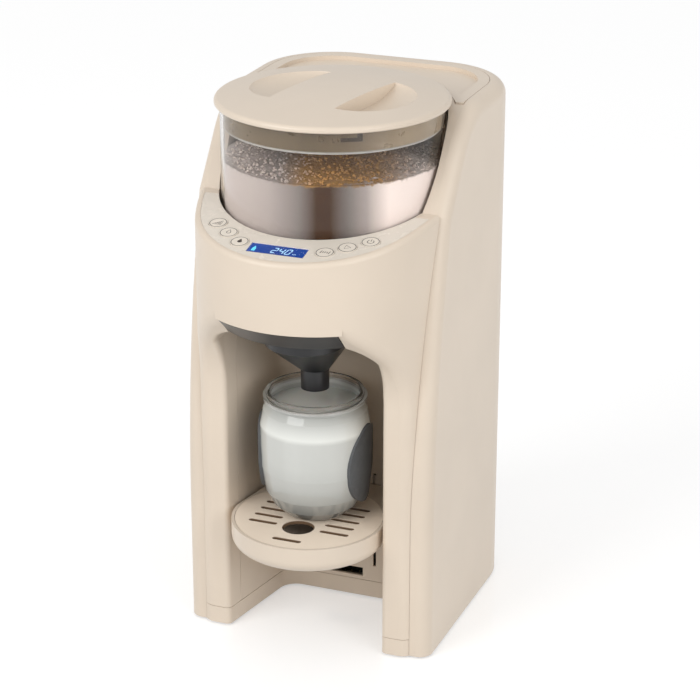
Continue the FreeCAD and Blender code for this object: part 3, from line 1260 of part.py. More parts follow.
def make_bottle():
    base = S.tray_top + 0.1
    outer = [(0, base), (20, base)] + [(radius, height) for radius, height in BOTTLE]
    neck = [(38, 180), (34.5, 185), (34.5, 187), (37.9, 187.8), (37.9, 190.2), (35.8, 191),
            (35.8, 193.5)]
    bore = [(33.4, 193.5), (33, 186), (36, 179), (38.1, 168), (37.9, 152), (37.4, 136), (36, 125),
            (34.6, 117), (29.6, 108.6), (22, 102.6), (0, base + 3)]
    keep("baby_bottle", spin("baby_bottle", outer + neck + bore, y=S.bottle_y))
    milk = [(0, base + 3.1), (21.8, 102.8), (29.3, 108.8), (34.4, 117.1), (35.8, 125.1),
            (37.2, 136), (37.7, 152), (37.9, 168), (35.7, 179), (34.6, 182), (0, 182)]
    keep("bottle_milk", spin("bottle_milk", milk, y=S.bottle_y))
    band = spin("grip_band", [(37.1, 112), (39.3, 112), (41.8, 136), (42, 152), (41.8, 172),
                              (36, 172)], y=S.bottle_y)
    body = spin("grip_core", outer + [(38, 180), (0, 180)], y=S.bottle_y)
    pads = []
    for side in (-1, 1):
        oval_rod = DOC.addObject("Part::Ellipsoid", f"grip_oval_{side + 2}")
        bind(oval_rod, Radius1=30, Radius2=40, Radius3=22, x=side * 41, y=S.bottle_y, z=142)
        pads.append(common(f"grip_{side + 2}", cut(f"grip_skin_{side + 2}", band, body), oval_rod))
    keep("bottle_grips", compound("bottle_grips", pads))


# ---- feet and screws --------------------------------------------------------------------------

def make_fastenings(board_screws):
    feet = [cylinder(f"foot_{number}", S.foot_radius, S.foot_height, x=x, y=y, z=0)
            for number, (x, y) in enumerate(
                ((HALF - S.foot_inset, S.foot_front_y), (S.foot_inset - HALF, S.foot_front_y),
                 (HALF - S.foot_inset, S.foot_back_y), (S.foot_inset - HALF, S.foot_back_y)), start=1)]
    keep("rubber_feet", compound("rubber_feet", feet))
    low = S.floor_gap + 0.2
    screws = [fuse(f"base_screw_{number}",
                   cylinder(f"base_head_{number}", S.screw_head, 1.5, x=x, y=y, z=low),
                   cylinder(f"base_shank_{number}", S.screw_radius, 14, x=x, y=y, z=low + 1.4))
              for number, (x, y) in enumerate(screw_spots(), start=1)]
    keep("casing_screws", compound("casing_screws", screws + board_screws))


def finish():
    DOC.recompute()
    os.makedirs("parts", exist_ok=True)
    bad = [item.Name for item in DOC.Objects if "Invalid" in item.State or "Error" in item.State]
    if bad:
        raise RuntimeError(f"objects in error: {bad}")
    for label, item in NODES.items():
        if item.Shape.isNull() or not item.Shape.isValid() or not item.Shape.Solids:
            raise RuntimeError(f"{label} has no valid solid")
        item.Shape.exportStep(os.path.join("parts", label + ".step"))


make_casings()
BOARD_SCREWS = make_panel()
make_container()
make_funnel()
make_tank()
make_water()
make_power()
make_tray()
make_bottle()
make_fastenings(BOARD_SCREWS)
finish()
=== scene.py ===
import math
import random

import bmesh
import bpy
from bpy.props import FloatProperty, FloatVectorProperty, IntProperty, PointerProperty
from mathutils import Matrix, Vector, noise


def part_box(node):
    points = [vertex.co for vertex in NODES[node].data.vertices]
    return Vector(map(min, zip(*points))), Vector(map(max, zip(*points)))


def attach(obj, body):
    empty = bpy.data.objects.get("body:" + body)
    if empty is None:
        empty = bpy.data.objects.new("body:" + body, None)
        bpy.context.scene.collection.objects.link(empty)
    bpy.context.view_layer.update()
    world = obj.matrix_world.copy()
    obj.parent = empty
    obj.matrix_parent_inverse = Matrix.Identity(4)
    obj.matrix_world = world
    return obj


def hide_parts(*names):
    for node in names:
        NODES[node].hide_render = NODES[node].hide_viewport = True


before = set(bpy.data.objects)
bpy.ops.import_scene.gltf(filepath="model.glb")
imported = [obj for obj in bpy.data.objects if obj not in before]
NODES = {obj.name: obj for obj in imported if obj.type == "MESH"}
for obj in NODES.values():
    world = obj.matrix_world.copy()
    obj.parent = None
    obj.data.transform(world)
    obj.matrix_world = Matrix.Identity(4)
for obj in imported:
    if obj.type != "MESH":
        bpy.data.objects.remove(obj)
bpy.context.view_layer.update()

bl_info = {
    "name": "Baby formula maker",
    "version": (1, 0, 0),
    "blender": (4, 5, 0),
    "location": "View3D > Sidebar > Formula Maker",
    "description": "Finishes a countertop baby formula maker, its powder, bottle and panel",
    "category": "Object",
}

MM = 0.001

# The container's upright axis and how far its colours spread to each side of it, the height of the
# milk, the slope of the control panel, and how far the show side is turned from the front.
JAR = (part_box("powder_container")[0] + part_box("powder_container")[1]) / 2
JAR.z = 0.0
JAR_REACH = 0.078
BOTTLE_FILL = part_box("bottle_milk")[1].z
PANEL_TILT = math.radians(11)
SHOW_SIDE = math.radians(21.4)

# The depth of a fine grain, and the printed lines: their width in millimetres and how much of a
# round line's height is left once it is pressed flat.
FINE_GRAIN = 0.0001
INK_WIDTH = 0.5
INK_RISE = 0.3

WHITE = (1.0, 1.0, 1.0)
UNSTRETCHED = (1.0, 1.0, 1.0)


def srgb(red, green, blue):
    """A colour given as it looks on a screen, 0 to 255, in the linear values that shaders take."""
    def linear(value):
        value /= 255.0
        return value / 12.92 if value <= 0.04045 else ((value + 0.055) / 1.055) ** 2.4
    return linear(red), linear(green), linear(blue)


# ---- finishes -----------------------------------------------------------------------------------

class Finish:
    """One material and its nodes, with short calls that add and join them."""

    def __init__(self, name):
        self.material = bpy.data.materials.new(name)
        self.material.use_nodes = True
        self.tree = self.material.node_tree
        self.shader = self.tree.nodes["Principled BSDF"]
        self.place = self.add("ShaderNodeTexCoord").outputs["Object"]

    def add(self, kind, **settings):
        node = self.tree.nodes.new(kind)
        for key, value in settings.items():
            setattr(node, key, value)
        return node

    def join(self, source, target):
        self.tree.links.new(source, target)

    def feed(self, value, socket):
        """Gives a socket a number, a colour, or what another socket sends."""
        if isinstance(value, float):
            socket.default_value = value
        elif isinstance(value, tuple):
            socket.default_value = (*value, 1.0)
        else:
            self.join(value, socket)

    def set(self, **values):
        """Sets the shader's own sockets, with _ for a space in their names."""
        for key, value in values.items():
            self.feed(value, self.shader.inputs[key.replace("_", " ")])
        return self.material

    def drive(self, socket, source):
        self.join(source, self.shader.inputs[socket])

    def placed(self, centre=(0.0, 0.0, 0.0), turn=(0.0, 0.0, 0.0), scale=UNSTRETCHED):
        """Object coordinates measured from a centre, turned and stretched."""
        node = self.add("ShaderNodeMapping", vector_type="TEXTURE")
        node.inputs["Location"].default_value = centre
        node.inputs["Rotation"].default_value = turn
        node.inputs["Scale"].default_value = scale
        self.join(self.place, node.inputs["Vector"])
        return node.outputs["Vector"]

    def noise(self, scale, detail=4.0, roughness=0.55, vector=None):
        node = self.add("ShaderNodeTexNoise")
        node.inputs["Scale"].default_value = scale
        node.inputs["Detail"].default_value = detail
        node.inputs["Roughness"].default_value = roughness
        self.join(vector or self.place, node.inputs["Vector"])
        return node.outputs["Fac"]

    def cells(self, scale):
        node = self.add("ShaderNodeTexVoronoi", feature="F1")
        node.inputs["Scale"].default_value = scale
        self.join(self.place, node.inputs["Vector"])
        return node.outputs["Distance"]

    def axis(self, name, vector):
        node = self.add("ShaderNodeSeparateXYZ")
        self.join(vector, node.inputs["Vector"])
        return node.outputs[name]

    def ramp(self, source, *stops):
        node = self.add("ShaderNodeValToRGB")
        band = node.color_ramp
        while len(band.elements) < len(stops):
            band.elements.new(0.5)
        for element, (position, colour) in zip(band.elements, stops):
            element.position = position
            element.color = (*colour, 1.0)
        self.join(source, node.inputs["Fac"])
        return node.outputs["Color"]

    def span(self, source, low, high, start=0.0, end=1.0):
        """Carries a value from the span start to end over to the span low to high."""
        node = self.add("ShaderNodeMapRange")
        for key, value in (("From Min", start), ("From Max", end), ("To Min", low), ("To Max", high)):
            node.inputs[key].default_value = value
        self.join(source, node.inputs["Value"])
        return node.outputs["Result"]

    def mix(self, share, first, second, blend="MIX"):
        """Mixes two colours by a share; 0, 6 and 7 are the mix node's sockets for colours."""
        node = self.add("ShaderNodeMix", data_type="RGBA", blend_type=blend)
        for socket, value in ((0, share), (6, first), (7, second)):
            self.feed(value, node.inputs[socket])
        return node.outputs[2]

    def work_out(self, operation, *values):
        """One step of arithmetic on numbers and on what sockets send."""
        node = self.add("ShaderNodeMath", operation=operation)
        for socket, value in zip(node.inputs, values):
            self.feed(value, socket)
        return node.outputs[0]

    def edge_share(self, start, end):
        """0 where the surface faces the eye, 1 where it turns away: the share of shade painted along the
        edges of clear walls.
        """
        node = self.add("ShaderNodeLayerWeight")
        node.inputs["Blend"].default_value = 0.5
        return self.span(node.outputs["Facing"], 0.0, 1.0, start, end)

    def inside(self, source, low, high):
        """1 where a value lies between low and high, 0 elsewhere."""
        return self.work_out("COMPARE", source, (low + high) / 2, (high - low) / 2)

    def pass_lamps(self, tint, share=None):
        """Lets the lamps' light through a clear wall onto what stands behind it."""
        shadow = self.add("ShaderNodeLightPath").outputs["Is Shadow Ray"]
        film = self.add("ShaderNodeBsdfTransparent")
        self.feed(tint, film.inputs["Color"])
        both = self.add("ShaderNodeMixShader")
        self.join(shadow if share is None else self.work_out("MULTIPLY", shadow, share), both.inputs[0])
        self.join(self.shader.outputs[0], both.inputs[1])
        self.join(film.outputs[0], both.inputs[2])
        self.join(both.outputs[0], self.tree.nodes["Material Output"].inputs["Surface"])

    def bump(self, height, strength, distance, under=None):
        node = self.add("ShaderNodeBump")
        node.inputs["Strength"].default_value = strength
        node.inputs["Distance"].default_value = distance
        self.join(height, node.inputs["Height"])
        if under is not None:
            self.join(under, node.inputs["Normal"])
        self.drive("Normal", node.outputs["Normal"])
        return node.outputs["Normal"]


def scaled(colour, factor):
    """A colour made darker or lighter."""
    return tuple(min(value * factor, 1.0) for value in colour)


def flow_mottle(finish, colour):
    """The faint mottle that plastic keeps from flowing into its mould."""
    flow = finish.noise(11.0, 3.0)
    return finish.ramp(flow, (0.3, scaled(colour, 0.965)), (0.7, scaled(colour, 1.02)))


def moulded_skin(finish, roughness, grain):
    """The fine grain and slightly uneven gloss of moulded plastic."""
    finish.drive("Roughness", finish.span(finish.noise(70.0, 5.0), roughness - 0.03, roughness + 0.05))
    finish.bump(finish.noise(2400.0, 2.0), grain, FINE_GRAIN)
    return finish.set(Specular_IOR_Level=0.45)


def moulded(name, colour, roughness=0.34, grain=0.08):
    """Moulded plastic."""
    finish = Finish(name)
    finish.drive("Base Color", flow_mottle(finish, colour))
    return moulded_skin(finish, roughness, grain)


def handling_haze(finish, roughness):
    """The faint haze that handling leaves on clear plastic."""
    haze = finish.noise(26.0, 5.0)
    finish.drive("Roughness", finish.span(haze, roughness, roughness + 0.03, 0.4, 0.75))


def clear(name, colour, roughness=0.02, ior=1.49):
    """Clear moulded plastic, with shade painted along its edges."""
    finish = Finish(name)
    handling_haze(finish, roughness)
    body = finish.ramp(finish.noise(7.0, 2.0), (0.3, colour), (0.7, scaled(colour, 0.98)))
    # Painted shade: the colour darkens where the wall turns away from the eye.
    finish.drive("Base Color", finish.mix(finish.edge_share(0.8, 0.97), body, scaled(colour, 0.6)))
    finish.pass_lamps(colour)
    return finish.set(Transmission_Weight=1.0, IOR=ior)


def turned(name, colour, roughness=0.28, along=(1.0, 1.0, 0.06)):
    """Turned or drawn metal with fine tool lines."""
    finish = Finish(name)
    lines = finish.noise(380.0, 3.0, vector=finish.placed(scale=along))
    finish.drive("Base Color", finish.ramp(lines, (0.3, scaled(colour, 0.84)), (0.7, colour)))
    finish.drive("Roughness", finish.span(lines, roughness - 0.06, roughness + 0.1))
    finish.bump(lines, 0.1, FINE_GRAIN)
    return finish.set(Metallic=1.0)


def show_side_share(finish):
    """Runs from 0 at the left of the container to 1 at its right, seen from the show side."""
    vector = finish.placed(centre=tuple(JAR), turn=(0.0, 0.0, SHOW_SIDE))
    return finish.span(finish.axis("X", vector), 0.0, 1.0, -JAR_REACH, JAR_REACH)


def soft(name, colour, roughness=0.68, through=0.0):
    """Rubber or silicone with a dusty, finely pitted skin."""
    finish = Finish(name)
    dust = finish.noise(260.0, 6.0)
    lighter = tuple(value + 0.02 for value in colour)
    finish.drive("Base Color", finish.ramp(dust, (0.35, colour), (0.8, lighter)))
    finish.drive("Roughness", finish.span(dust, roughness - 0.06, roughness + 0.1))
    finish.bump(finish.noise(1700.0, 2.0), 0.12, FINE_GRAIN)
    return finish.set(Specular_IOR_Level=0.35, Transmission_Weight=through)


def solder_mask(name):
    """Black board with faint tracks and small pads."""
    finish = Finish(name)
    tracks = finish.add("ShaderNodeTexBrick")
    for socket, value in (("Vector", finish.place), ("Scale", 150.0), ("Mortar Size", 0.03),
                          ("Mortar", srgb(52, 60, 56)), ("Color1", srgb(26, 30, 29)),
                          ("Color2", srgb(21, 25, 24))):
        finish.feed(value, tracks.inputs[socket])
    pads = finish.span(finish.cells(420.0), 1.0, 0.0, 0.12, 0.16)
    finish.drive("Base Color", finish.mix(pads, tracks.outputs["Color"], srgb(190, 170, 110)))
    finish.bump(pads, 0.2, FINE_GRAIN)
    return finish.set(Roughness=0.35)


# ---- pieces -------------------------------------------------------------------------------------

def dress(material, *names):
    """Gives nodes of the frame a finish."""
    for name in names:
        for held in NODES[name].material_slots:
            held.material = material


def make_piece(name, form, material, body, sharp=34):
    """Turns a bmesh into a piece that rides on a body; edges past sharp degrees stay sharp."""
    bmesh.ops.remove_doubles(form, verts=form.verts, dist=1e-7)
    bmesh.ops.recalc_face_normals(form, faces=form.faces)
    mesh = bpy.data.meshes.new(name)
    form.to_mesh(mesh)
    form.free()
    mesh.materials.append(material)
    mesh.shade_smooth()
    mesh.set_sharp_from_angle(angle=math.radians(sharp))
    piece = bpy.data.objects.new(name, mesh)
    bpy.context.collection.objects.link(piece)
    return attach(piece, body)


def trace(form, strokes, width, place):
    """Adds flat ribs along strokes, each a list of points and whether it closes."""
    curve = bpy.data.curves.new("stroke", "CURVE")
    curve.dimensions = "3D"
    curve.bevel_depth = width / 2
    curve.bevel_resolution = 1
    curve.use_fill_caps = True
    for points, closes in strokes:
        spline = curve.splines.new("POLY")
        spline.points.add(len(points) - 1)
        for point, (x, y) in zip(spline.points, points):
            point.co = (x, y, 0.0, 1.0)
        spline.use_cyclic_u = closes
    holder = bpy.data.objects.new("stroke", curve)
    mesh = bpy.data.meshes.new_from_object(holder)
    mesh.transform(place @ Matrix.Diagonal((1.0, 1.0, INK_RISE, 1.0)))
    form.from_mesh(mesh)
    bpy.data.objects.remove(holder)
    bpy.data.curves.remove(curve)
    bpy.data.meshes.remove(mesh)


def fill(form, outline, thickness, place):
    """Adds a flat plate with this outline, its underside on the place's plane."""
    face = form.faces.new([form.verts.new(place @ Vector((x, y, 0.0))) for x, y in outline])
    raised = bmesh.ops.extrude_face_region(form, geom=[face])["geom"]
    up = place.to_3x3() @ Vector((0.0, 0.0, thickness))
    raised_points = [part for part in raised if isinstance(part, bmesh.types.BMVert)]
    bmesh.ops.translate(form, verts=raised_points, vec=up)


def arc(radius, start, end, steps):
    """Points along an arc about the middle, angles in degrees."""
    angles = [math.radians(start + (end - start) * step / steps) for step in range(steps + 1)]
    return [(radius * math.cos(a), radius * math.sin(a)) for a in angles]


def tilted(point):
    """The matrix of a spot on the sloping panel."""
    return Matrix.Translation(point) @ Matrix.Rotation(PANEL_TILT, 4, "X")


# ---- symbols on the buttons ---------------------------------------------------------------------

# Each gives its lines, as points and whether they close, and its filled outlines, in millimetres
# about the button's middle.

def symbol_powder():
    """Bars that rise to the right, for the amount of powder."""
    bars = [([(x, -1.9), (x, -1.9 + rise)], False) for x, rise in
            ((-2.6, 0.5), (-1.5, 1.3), (-0.4, 2.2), (0.7, 3.1), (1.8, 4.0))]
    return bars + [([(-3.4, -2.6), (2.8, -2.6), (2.8, 3.0)], True)], []


def drop_outline(size):
    """A drop with its tip up."""
    round_part = arc(size, -200, 20, 16)
    return [(0.0, size * 2.3)] + round_part[::-1]


def symbol_water():
    """An open drop."""
    return [(drop_outline(1.5), True)], []


def symbol_warmth():
    """A filled drop."""
    return [], [drop_outline(1.6)]


def symbol_unit():
    """Slanting graduation marks, as on a measuring jug."""
    heights = (3.4, 2.0, 2.0, 2.0, 3.4)
    return [([(-3.0 + 1.5 * place, -height / 2), (-2.4 + 1.5 * place, height / 2)], False)
            for place, height in enumerate(heights)], []


def symbol_start():
    """A triangle that points to the right."""
    return [([(-1.7, -2.3), (2.5, 0.0), (-1.7, 2.3)], True)], []


def symbol_power():
    """An open ring with a bar in its gap."""
    return [(arc(2.3, 125, 415, 28), False), ([(0.0, 0.4), (0.0, 3.0)], False)], []


SYMBOLS = {
    "button_powder": symbol_powder, "button_water": symbol_water, "button_warmth": symbol_warmth,
    "button_unit": symbol_unit, "button_start": symbol_start, "button_power": symbol_power,
}


# ---- display ------------------------------------------------------------------------------------

# Which of the seven strips light for each digit: top, upper right, lower right, bottom,
# lower left, upper left, middle.
STRIPS = {
    "0": "1111110", "1": "0110000", "2": "1101101", "3": "1111001", "4": "0110011",
    "5": "1011011", "6": "1011111", "7": "1110000", "8": "1111111", "9": "1111011",
}
DIGIT_LEAN = 0.2
STRIP_GAP = 0.16


def strip(start, end, width):
    """The six-cornered outline of one lit strip."""
    start, end = Vector(start), Vector(end)
    along = (end - start).normalized() * width / 2
    across = Vector((-along.y, along.x))
    return [start, start + along + across, end - along + across, end, end - along - across,
            start + along - across]


def digit_outlines(digit, left, width, height, thickness):
    """Outlines of a digit's lit strips, leaning to the right."""
    half = height / 2
    gap = thickness * STRIP_GAP
    corners = {
        "tl": (0, half), "tr": (width, half), "ml": (0, 0), "mr": (width, 0),
        "bl": (0, -half), "br": (width, -half),
    }
    pairs = (("tl", "tr"), ("tr", "mr"), ("mr", "br"), ("bl", "br"), ("ml", "bl"), ("tl", "ml"),
             ("ml", "mr"))
    outlines = []
    for lit, (first, second) in zip(STRIPS[digit], pairs):
        if lit == "1":
            a, b = Vector(corners[first]), Vector(corners[second])
            inset = (b - a).normalized() * gap
            points = strip(a + inset, b - inset, thickness)
            outlines.append([(left + point.x + point.y * DIGIT_LEAN, point.y) for point in points])
    return outlines


# ---- settings -----------------------------------------------------------------------------------

def colour_setting(name, description, default):
    return FloatVectorProperty(
        name=name, description=description, subtype="COLOR", size=3, min=0.0, max=1.0, default=default)


class FormulaMakerColours(bpy.types.PropertyGroup):
    sand: colour_setting("Sand plastic", "Colour of the casings, lid and tray", srgb(226, 211, 193))
    panel: colour_setting("Panel plastic", "Colour of the control panel", srgb(232, 223, 210))
    ink: colour_setting("Print", "Colour of the rings and symbols", srgb(62, 52, 45))
    dark: colour_setting("Dark plastic", "Colour of the funnel and its cover", srgb(40, 40, 42))
    milk: colour_setting("Milk", "Colour of the mixed formula", srgb(205, 206, 201))
    grip: colour_setting("Grip", "Colour of the bottle's grip pads", srgb(84, 86, 88))
    # Painted reflection: the pale colour stands for the lamps' reflection over the powder's sides; the
    # brown is the powder's own colour, left as a band where none is painted.
    pale_powder: colour_setting("Pale powder", "Colour of the fresh powder", srgb(222, 213, 211))
    brown_powder: colour_setting("Brown powder", "Colour of the packed band", srgb(66, 42, 22))
    golden_powder: colour_setting("Golden powder", "Colour of the coarse top layer", srgb(184, 140, 78))
    glow: colour_setting("Display", "Colour of the lit display", srgb(22, 74, 168))


class FormulaMakerPowder(bpy.types.PropertyGroup):
    level: FloatProperty(
        name="Level", description="Height of the powder's edge above the worktop", unit="LENGTH",
        default=0.361)
    heap: FloatProperty(
        name="Heap", description="Rise of the powder's middle over its edge", unit="LENGTH", default=0.007)
    crumbs: IntProperty(
        name="Crumbs", description="Number of loose crumbs on the powder", default=1500, min=0)


class FormulaMakerDisplay(bpy.types.PropertyGroup):
    volume: IntProperty(
        name="Volume", description="Amount that the display shows", default=240, min=0, max=999)
    digit_height: FloatProperty(
        name="Digit height", description="Height of the lit digits", unit="LENGTH", default=0.0064)
    strength: FloatProperty(
        name="Glow", description="Strength of the display's light", default=0.7, min=0.0)


class FormulaMakerStudio(bpy.types.PropertyGroup):
    floor: FloatProperty(
        name="Floor", description="Width of the studio floor", unit="LENGTH", default=16.0)
    key: FloatProperty(name="Key lamp", description="Power of the key lamp, in watts", default=27.5)
    fill: FloatProperty(name="Fill lamp", description="Power of the fill lamp, in watts", default=19.0)
    world: FloatProperty(name="Room light", description="Strength of the even room light", default=0.66)
    lens: FloatProperty(
        name="Lens", description="Focal length of the camera, in millimetres", default=123.63)


class FormulaMakerSettings(bpy.types.PropertyGroup):
    colours: PointerProperty(type=FormulaMakerColours)
    powder: PointerProperty(type=FormulaMakerPowder)
    display: PointerProperty(type=FormulaMakerDisplay)
    studio: PointerProperty(type=FormulaMakerStudio)


def chosen(context, name):
    """One of the colours that the user set, as a plain tuple."""
    return tuple(getattr(context.scene.formula_maker.colours, name))


# ---- operators ----------------------------------------------------------------------------------

class FinishCasings(bpy.types.Operator):
    """Finish the front housing, rear shell, bay liner, base and lids in sand plastic"""
    bl_idname = "formula_maker.casings"
    bl_label = "Casings"

    def execute(self, context):
        sand = chosen(context, "sand")
        dress(moulded("sand_plastic", sand), "front_housing", "rear_shell", "base_cover")
        # Painted shade: the bay liner is a slightly darker copy of the sand plastic, in its recess.
        dress(moulded("sand_plastic_bay", scaled(sand, 0.97), 0.4), "bay_liner")
        dress(moulded("sand_plastic_lids", sand, 0.3), "container_lid", "tank_lid")
        dress(soft("foot_rubber", srgb(38, 38, 38)), "rubber_feet")
        return {"FINISHED"}


class FinishWorks(bpy.types.Operator):
    """Finish the drive, pump, heater, hoses, boards and the other parts inside"""
    bl_idname = "formula_maker.works"
    bl_label = "Works"

    def execute(self, context):
        white = moulded("white_moulding", srgb(214, 214, 211), 0.45)
        dress(white, "container_well", "funnel_rails", "water_nozzle", "tank_shelf", "tank_socket",
              "container_base", "stirrer", "dosing_wheel", "tank_valve", "valve_plunger")
        dress(moulded("tray_arm_plastic", chosen(context, "sand"), 0.45), "tray_carriage")
        dress(moulded("gear_plastic", srgb(228, 226, 214), 0.4), "motor_pinion", "drive_gear")
        dress(turned("turned_steel", srgb(196, 198, 202)), "motor_shaft", "drive_shaft", "valve_spring",
              "casing_screws", "water_heater")
        dress(turned("zinc_plate", srgb(150, 152, 156), 0.4, UNSTRETCHED),
              "gear_motor", "drive_bracket")
        dress(turned("bush_bronze", srgb(190, 148, 88), 0.42, UNSTRETCHED), "shaft_bushes")
        dress(soft("hose_silicone", srgb(206, 210, 210), 0.5, 0.35),
              "nozzle_hose", "tank_hose", "pump_hose")
        dress(soft("seal_silicone", srgb(190, 190, 188), 0.5, 0.2), "lid_seal", "socket_seal")
        dress(solder_mask("board_black"), "control_board", "power_board")
        dress(moulded("black_moulding", srgb(40, 40, 42), 0.42), "button_switches", "water_pump",
              "power_parts", "power_inlet", "display_module")
        return {"FINISHED"}


class FinishContainer(bpy.types.Operator):
    """Finish the clear powder container and its lid's skirt"""
    bl_idname = "formula_maker.container"
    bl_label = "Powder container"

    # The bayonet slot's two arms, along which a shadow is painted, in millimetres: left and right edge,
    # then low and high edge measured from the skirt's top. Only the front of the skirt has the slot, so
    # the painted shadow runs from well before the skirt to the container's axis.
    slot_arms = (((33.5, 46.5), (-7.4, -4.6)), ((43.5, 46.5), (-7.4, 0.0)))
    front_start = -0.2

    def execute(self, context):
        dress(self.wall_plastic(), "powder_container")
        dress(self.skirt_plastic(), "lid_skirt")
        return {"FINISHED"}

    @staticmethod
    def wall_plastic():
        """Thin clear wall that hardly bends the view, glossy outside, with shade painted along its edges.
        """
        finish = Finish("container_plastic")
        body = finish.ramp(finish.noise(7.0, 2.0), (0.3, srgb(240, 237, 234)), (0.7, srgb(236, 233, 230)))
        # Painted shade: the wall turns dark brown where it turns away from the eye.
        finish.drive("Base Color", finish.mix(finish.edge_share(0.8, 0.96), body, srgb(60, 50, 46)))
        handling_haze(finish, 0.02)
        finish.pass_lamps(srgb(240, 237, 234))
        return finish.set(Transmission_Weight=1.0, IOR=1.1, Coat_Weight=0.35, Coat_Roughness=0.04)

    @classmethod
    def skirt_plastic(cls):
        """Frosted plastic, darker in the middle and lighter to the sides by a painted reflection, with a
        shadow painted along the bayonet slot.
        """
        finish = Finish("skirt_plastic")
        frost = finish.noise(90.0, 5.0)
        # Painted reflection: lighter to the sides, where the lamps would reflect, darker in the middle.
        shade = finish.ramp(show_side_share(finish), (0.02, srgb(140, 126, 104)), (0.4, srgb(108, 94, 72)),
                            (0.62, srgb(124, 108, 86)), (0.8, srgb(176, 160, 136)))
        light = finish.ramp(frost, (0.3, (0.93, 0.93, 0.93)), (0.7, WHITE))
        plastic = finish.mix(1.0, shade, light, "MULTIPLY")
        # Painted shadow along the bayonet slot.
        finish.drive("Base Color", finish.mix(cls.by_slot(finish), plastic, srgb(58, 48, 38)))
        finish.drive("Roughness", finish.span(frost, 0.22, 0.36))
        finish.bump(finish.noise(1800.0, 2.0), 0.1, FINE_GRAIN)
        return finish.set(Transmission_Weight=0.25, IOR=1.49)

    @classmethod
    def by_slot(cls, finish):
        """1 within half a millimetre of the bayonet slot's two arms, where a shadow is painted, 0
        elsewhere.
        """
        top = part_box("lid_skirt")[1].z
        shares = []
        for (left, right), (low, high) in cls.slot_arms:
            across = finish.inside(finish.axis("X", finish.place), left * MM, right * MM)
            upright = finish.inside(finish.axis("Z", finish.place), top + low * MM, top + high * MM)
            shares.append(finish.work_out("MULTIPLY", across, upright))
        front = finish.inside(finish.axis("Y", finish.place), cls.front_start, JAR.y)
        return finish.work_out("MULTIPLY", finish.work_out("MAXIMUM", *shares), front)


